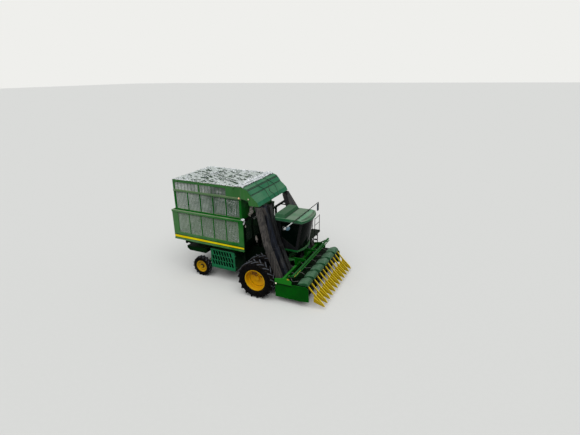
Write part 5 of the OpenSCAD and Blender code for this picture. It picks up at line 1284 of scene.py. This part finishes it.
for label, x, y, z, circle, count, head, hub, valve, finish, capSlot in wheelSets:
    for sideName, side in sides:
        body = label + "_" + sideName.lower()
        place = at(x, side * y, z)
        mesh = runTree(boltRing, {"Count": count, "Radius": circle, "Head": head, "Height": head * 1.1}, finish)
        mesh.transform(Matrix.Translation(place) @ Matrix.Rotation(0 if side < 0 else math.pi, 4, "Z"))
        finishPiece(mesh, "rimBolts_" + body, finish, body, "cast_iron")
        makePiece(lambda work: addHubCap(work, place, side, hub, valve), "hubCap_" + body, finish, body, capSlot, 40)
print("wheels fitted")


# picking header: worn strip on the bar, a reflector, and hoses laid along the cabinets

header = {"bar": {"x": 2.03, "z": 1.60, "radius": 0.057, "y": (-2.38, -1.62), "strip": 0.014},
          "plate": ((1.68, 1.80), -2.329, (1.29, 1.345)),
          "rows": (-1.905, -1.143, -0.381, 0.381, 1.143, 1.905), "hose": 0.014,
          "route": ((1.47, 0.20, 1.16), (1.53, 0.20, 1.15), (1.62, 0.16, 1.101), (1.72, 0.02, 1.096),
                    (1.86, -0.12, 1.096), (2.0, -0.05, 1.096), (2.1, 0.02, 1.096))}


def addBarStrip(work):
    # worn edge strip low on the bar's front, and a reflector on the cap plate
    bar = header["bar"]
    (y0, y1), reach = bar["y"], bar["radius"] * 0.72
    x, z = bar["x"] + reach, bar["z"] - reach
    turn = Matrix.Rotation(math.radians(45), 3, "Y")
    made = bmesh.ops.create_cube(work, size=1)["verts"]
    bmesh.ops.scale(work, vec=(bar["strip"], y1 - y0, 0.05), verts=made)
    for vert in made:
        vert.co = at(x, (y0 + y1) / 2, z) + turn @ vert.co
    bmesh.ops.bevel(work, geom=list({e for v in made for e in v.link_edges}), offset=0.004, segments=2, affect="EDGES")
    (x0, x1), y, (z0, z1) = header["plate"]
    addSlab(work, at(x0, y - 0.008, z0), at(x1, y, z1), 0.003)


makePiece(addBarStrip, "barStrip", dividerEnamel, "header", "yellow_paint", 40)
for k, row in enumerate(header["rows"]):
    # across each cabinet's cover, turned over on every second one
    side = -1 if k % 2 else 1
    route = [at(x, row + side * y, z) for x, y, z in header["route"]]
    makeCord("rowHosePale_%d" % (k + 1), route, header["hose"], greyHose, "header", 3)
print("header dressed")


# lamps

lamps = (
    # name, place and direction of the left one, radius, lens, body
    ("lampRail", (-1.20, 1.625, 4.80), (0.3, 1, 0), 0.05, amberLens, "basket"),
    ("lampHood", (-0.67, 1.60, 4.80), (0.2, 1, 0), 0.045, clearLens, "basket"),
    ("lampHeader", (1.10, 2.329, 1.0), (-0.1, 1, 0), 0.045, brightLens, "header"),
    ("lampCab", (1.86, 0.45, 3.70), (1, 0.2, -0.1), 0.06, clearLens, "chassis"),
)


def addLamp(work, place, front, along, radius):
    addRound(work, place, front, radius, 20, radius * 0.96)
    addRound(work, place - along * radius * 0.5, place, radius * 0.55, 20, radius)


for name, (x, y, z), (dx, dy, dz), radius, lens, body in lamps:
    for sideName, side in sides:
        place, along = at(x, side * y, z), Vector((dx, side * dy, dz)).normalized()
        front = place + along * radius * 0.6
        makePiece(lambda work: addLamp(work, place, front, along, radius), name + sideName, moulded, body,
                  "duct_plastic", 40)
        makePiece(lambda work: addRound(work, front, front + along * radius * 0.25, radius * 0.88, 24, radius * 0.6),
                  name + sideName + "Lens", lens, body, None, 60)
print("lamps made")


# stage, light and camera

view = {"azimuth": 25.54, "pitch": 20.51, "roll": -0.744, "lens": 24.0, "sensor": 36, "reach": 500,
        "place": (8.82, -16.83, 10.51)}


def setCamera():
    turn, dip, roll = (math.radians(view[k]) for k in ("azimuth", "pitch", "roll"))
    back = Vector((math.sin(turn) * math.cos(dip), -math.cos(turn) * math.cos(dip), math.sin(dip)))
    level = (-back).cross(Vector((0, 0, 1))).normalized()
    upright = level.cross(-back)
    right = level * math.cos(roll) + upright * math.sin(roll)
    up = upright * math.cos(roll) - level * math.sin(roll)
    camera = bpy.data.objects.new("camera", bpy.data.cameras.new("camera"))
    camera.data.lens = view["lens"]
    camera.data.sensor_width = view["sensor"]
    camera.data.clip_end = view["reach"]
    camera.matrix_world = Matrix.Translation(at(*view["place"])) @ Matrix((right, up, back)).transposed().to_4x4()
    scene.collection.objects.link(camera)
    scene.camera = camera


light = {"sun": 2.5, "softness": 75, "from": (0.10, -0.42, 1.0), "sky": 0.33, "skyTone": "#eef2f6",
         "backdrop": "#efefec", "floorSeen": "#d9d9d6", "floorGrain": "#c9c9c5",
         "floorBounce": "#77756f", "floorHalf": 400}


def setLight():
    world = bpy.data.worlds.new("studio")
    scene.world = world
    world.use_nodes = True
    tree = world.node_tree
    tree.nodes.clear()
    seen = seenDirectly(tree)
    soft = addNode(tree, "ShaderNodeBackground", {"Color": linear(light["skyTone"]), "Strength": light["sky"]})
    plain = addNode(tree, "ShaderNodeBackground", {"Color": linear(light["backdrop"]), "Strength": 1.0})
    both = addNode(tree, "ShaderNodeMixShader", None, {0: seen, 1: soft.outputs[0], 2: plain.outputs[0]})
    addNode(tree, "ShaderNodeOutputWorld", None, {"Surface": both.outputs[0]})
    lamp = bpy.data.lights.new("softLight", "SUN")
    lamp.energy = light["sun"]
    lamp.angle = math.radians(light["softness"])
    holder = bpy.data.objects.new("softLight", lamp)
    holder.matrix_world = Vector(light["from"]).to_track_quat("Z", "Y").to_matrix().to_4x4()
    scene.collection.objects.link(holder)


def seenDirectly(tree):
    path = addNode(tree, "ShaderNodeLightPath")
    mirrored = addMath(tree, "MAXIMUM", path.outputs["Is Glossy Ray"], path.outputs["Is Transmission Ray"])
    return addMath(tree, "MAXIMUM", path.outputs["Is Camera Ray"], mirrored)


def setFloor():
    mesh = bpy.data.meshes.new("floor")
    half = light["floorHalf"]
    mesh.from_pydata([(-half, -half, 0), (half, -half, 0), (half, half, 0), (-half, half, 0)], [], [(0, 1, 2, 3)])
    material, tree, shader, coords = startMaterial("paleFloor", {"Roughness": 1.0, "Specular IOR Level": 0.0})
    pale = addMix(tree, addBand(tree, addPattern(tree, coords, 6), 0.3, 0.7, 0, 0.05), light["floorSeen"],
                  light["floorGrain"])
    feed(tree, shader, {"Base Color": addMix(tree, seenDirectly(tree), light["floorBounce"], pale)})
    mesh.materials.append(material)
    floor = bpy.data.objects.new("floor", mesh)
    scene.collection.objects.link(floor)


setCamera()
setLight()
setFloor()
scene.view_settings.view_transform = "Standard"
print("stage ready")
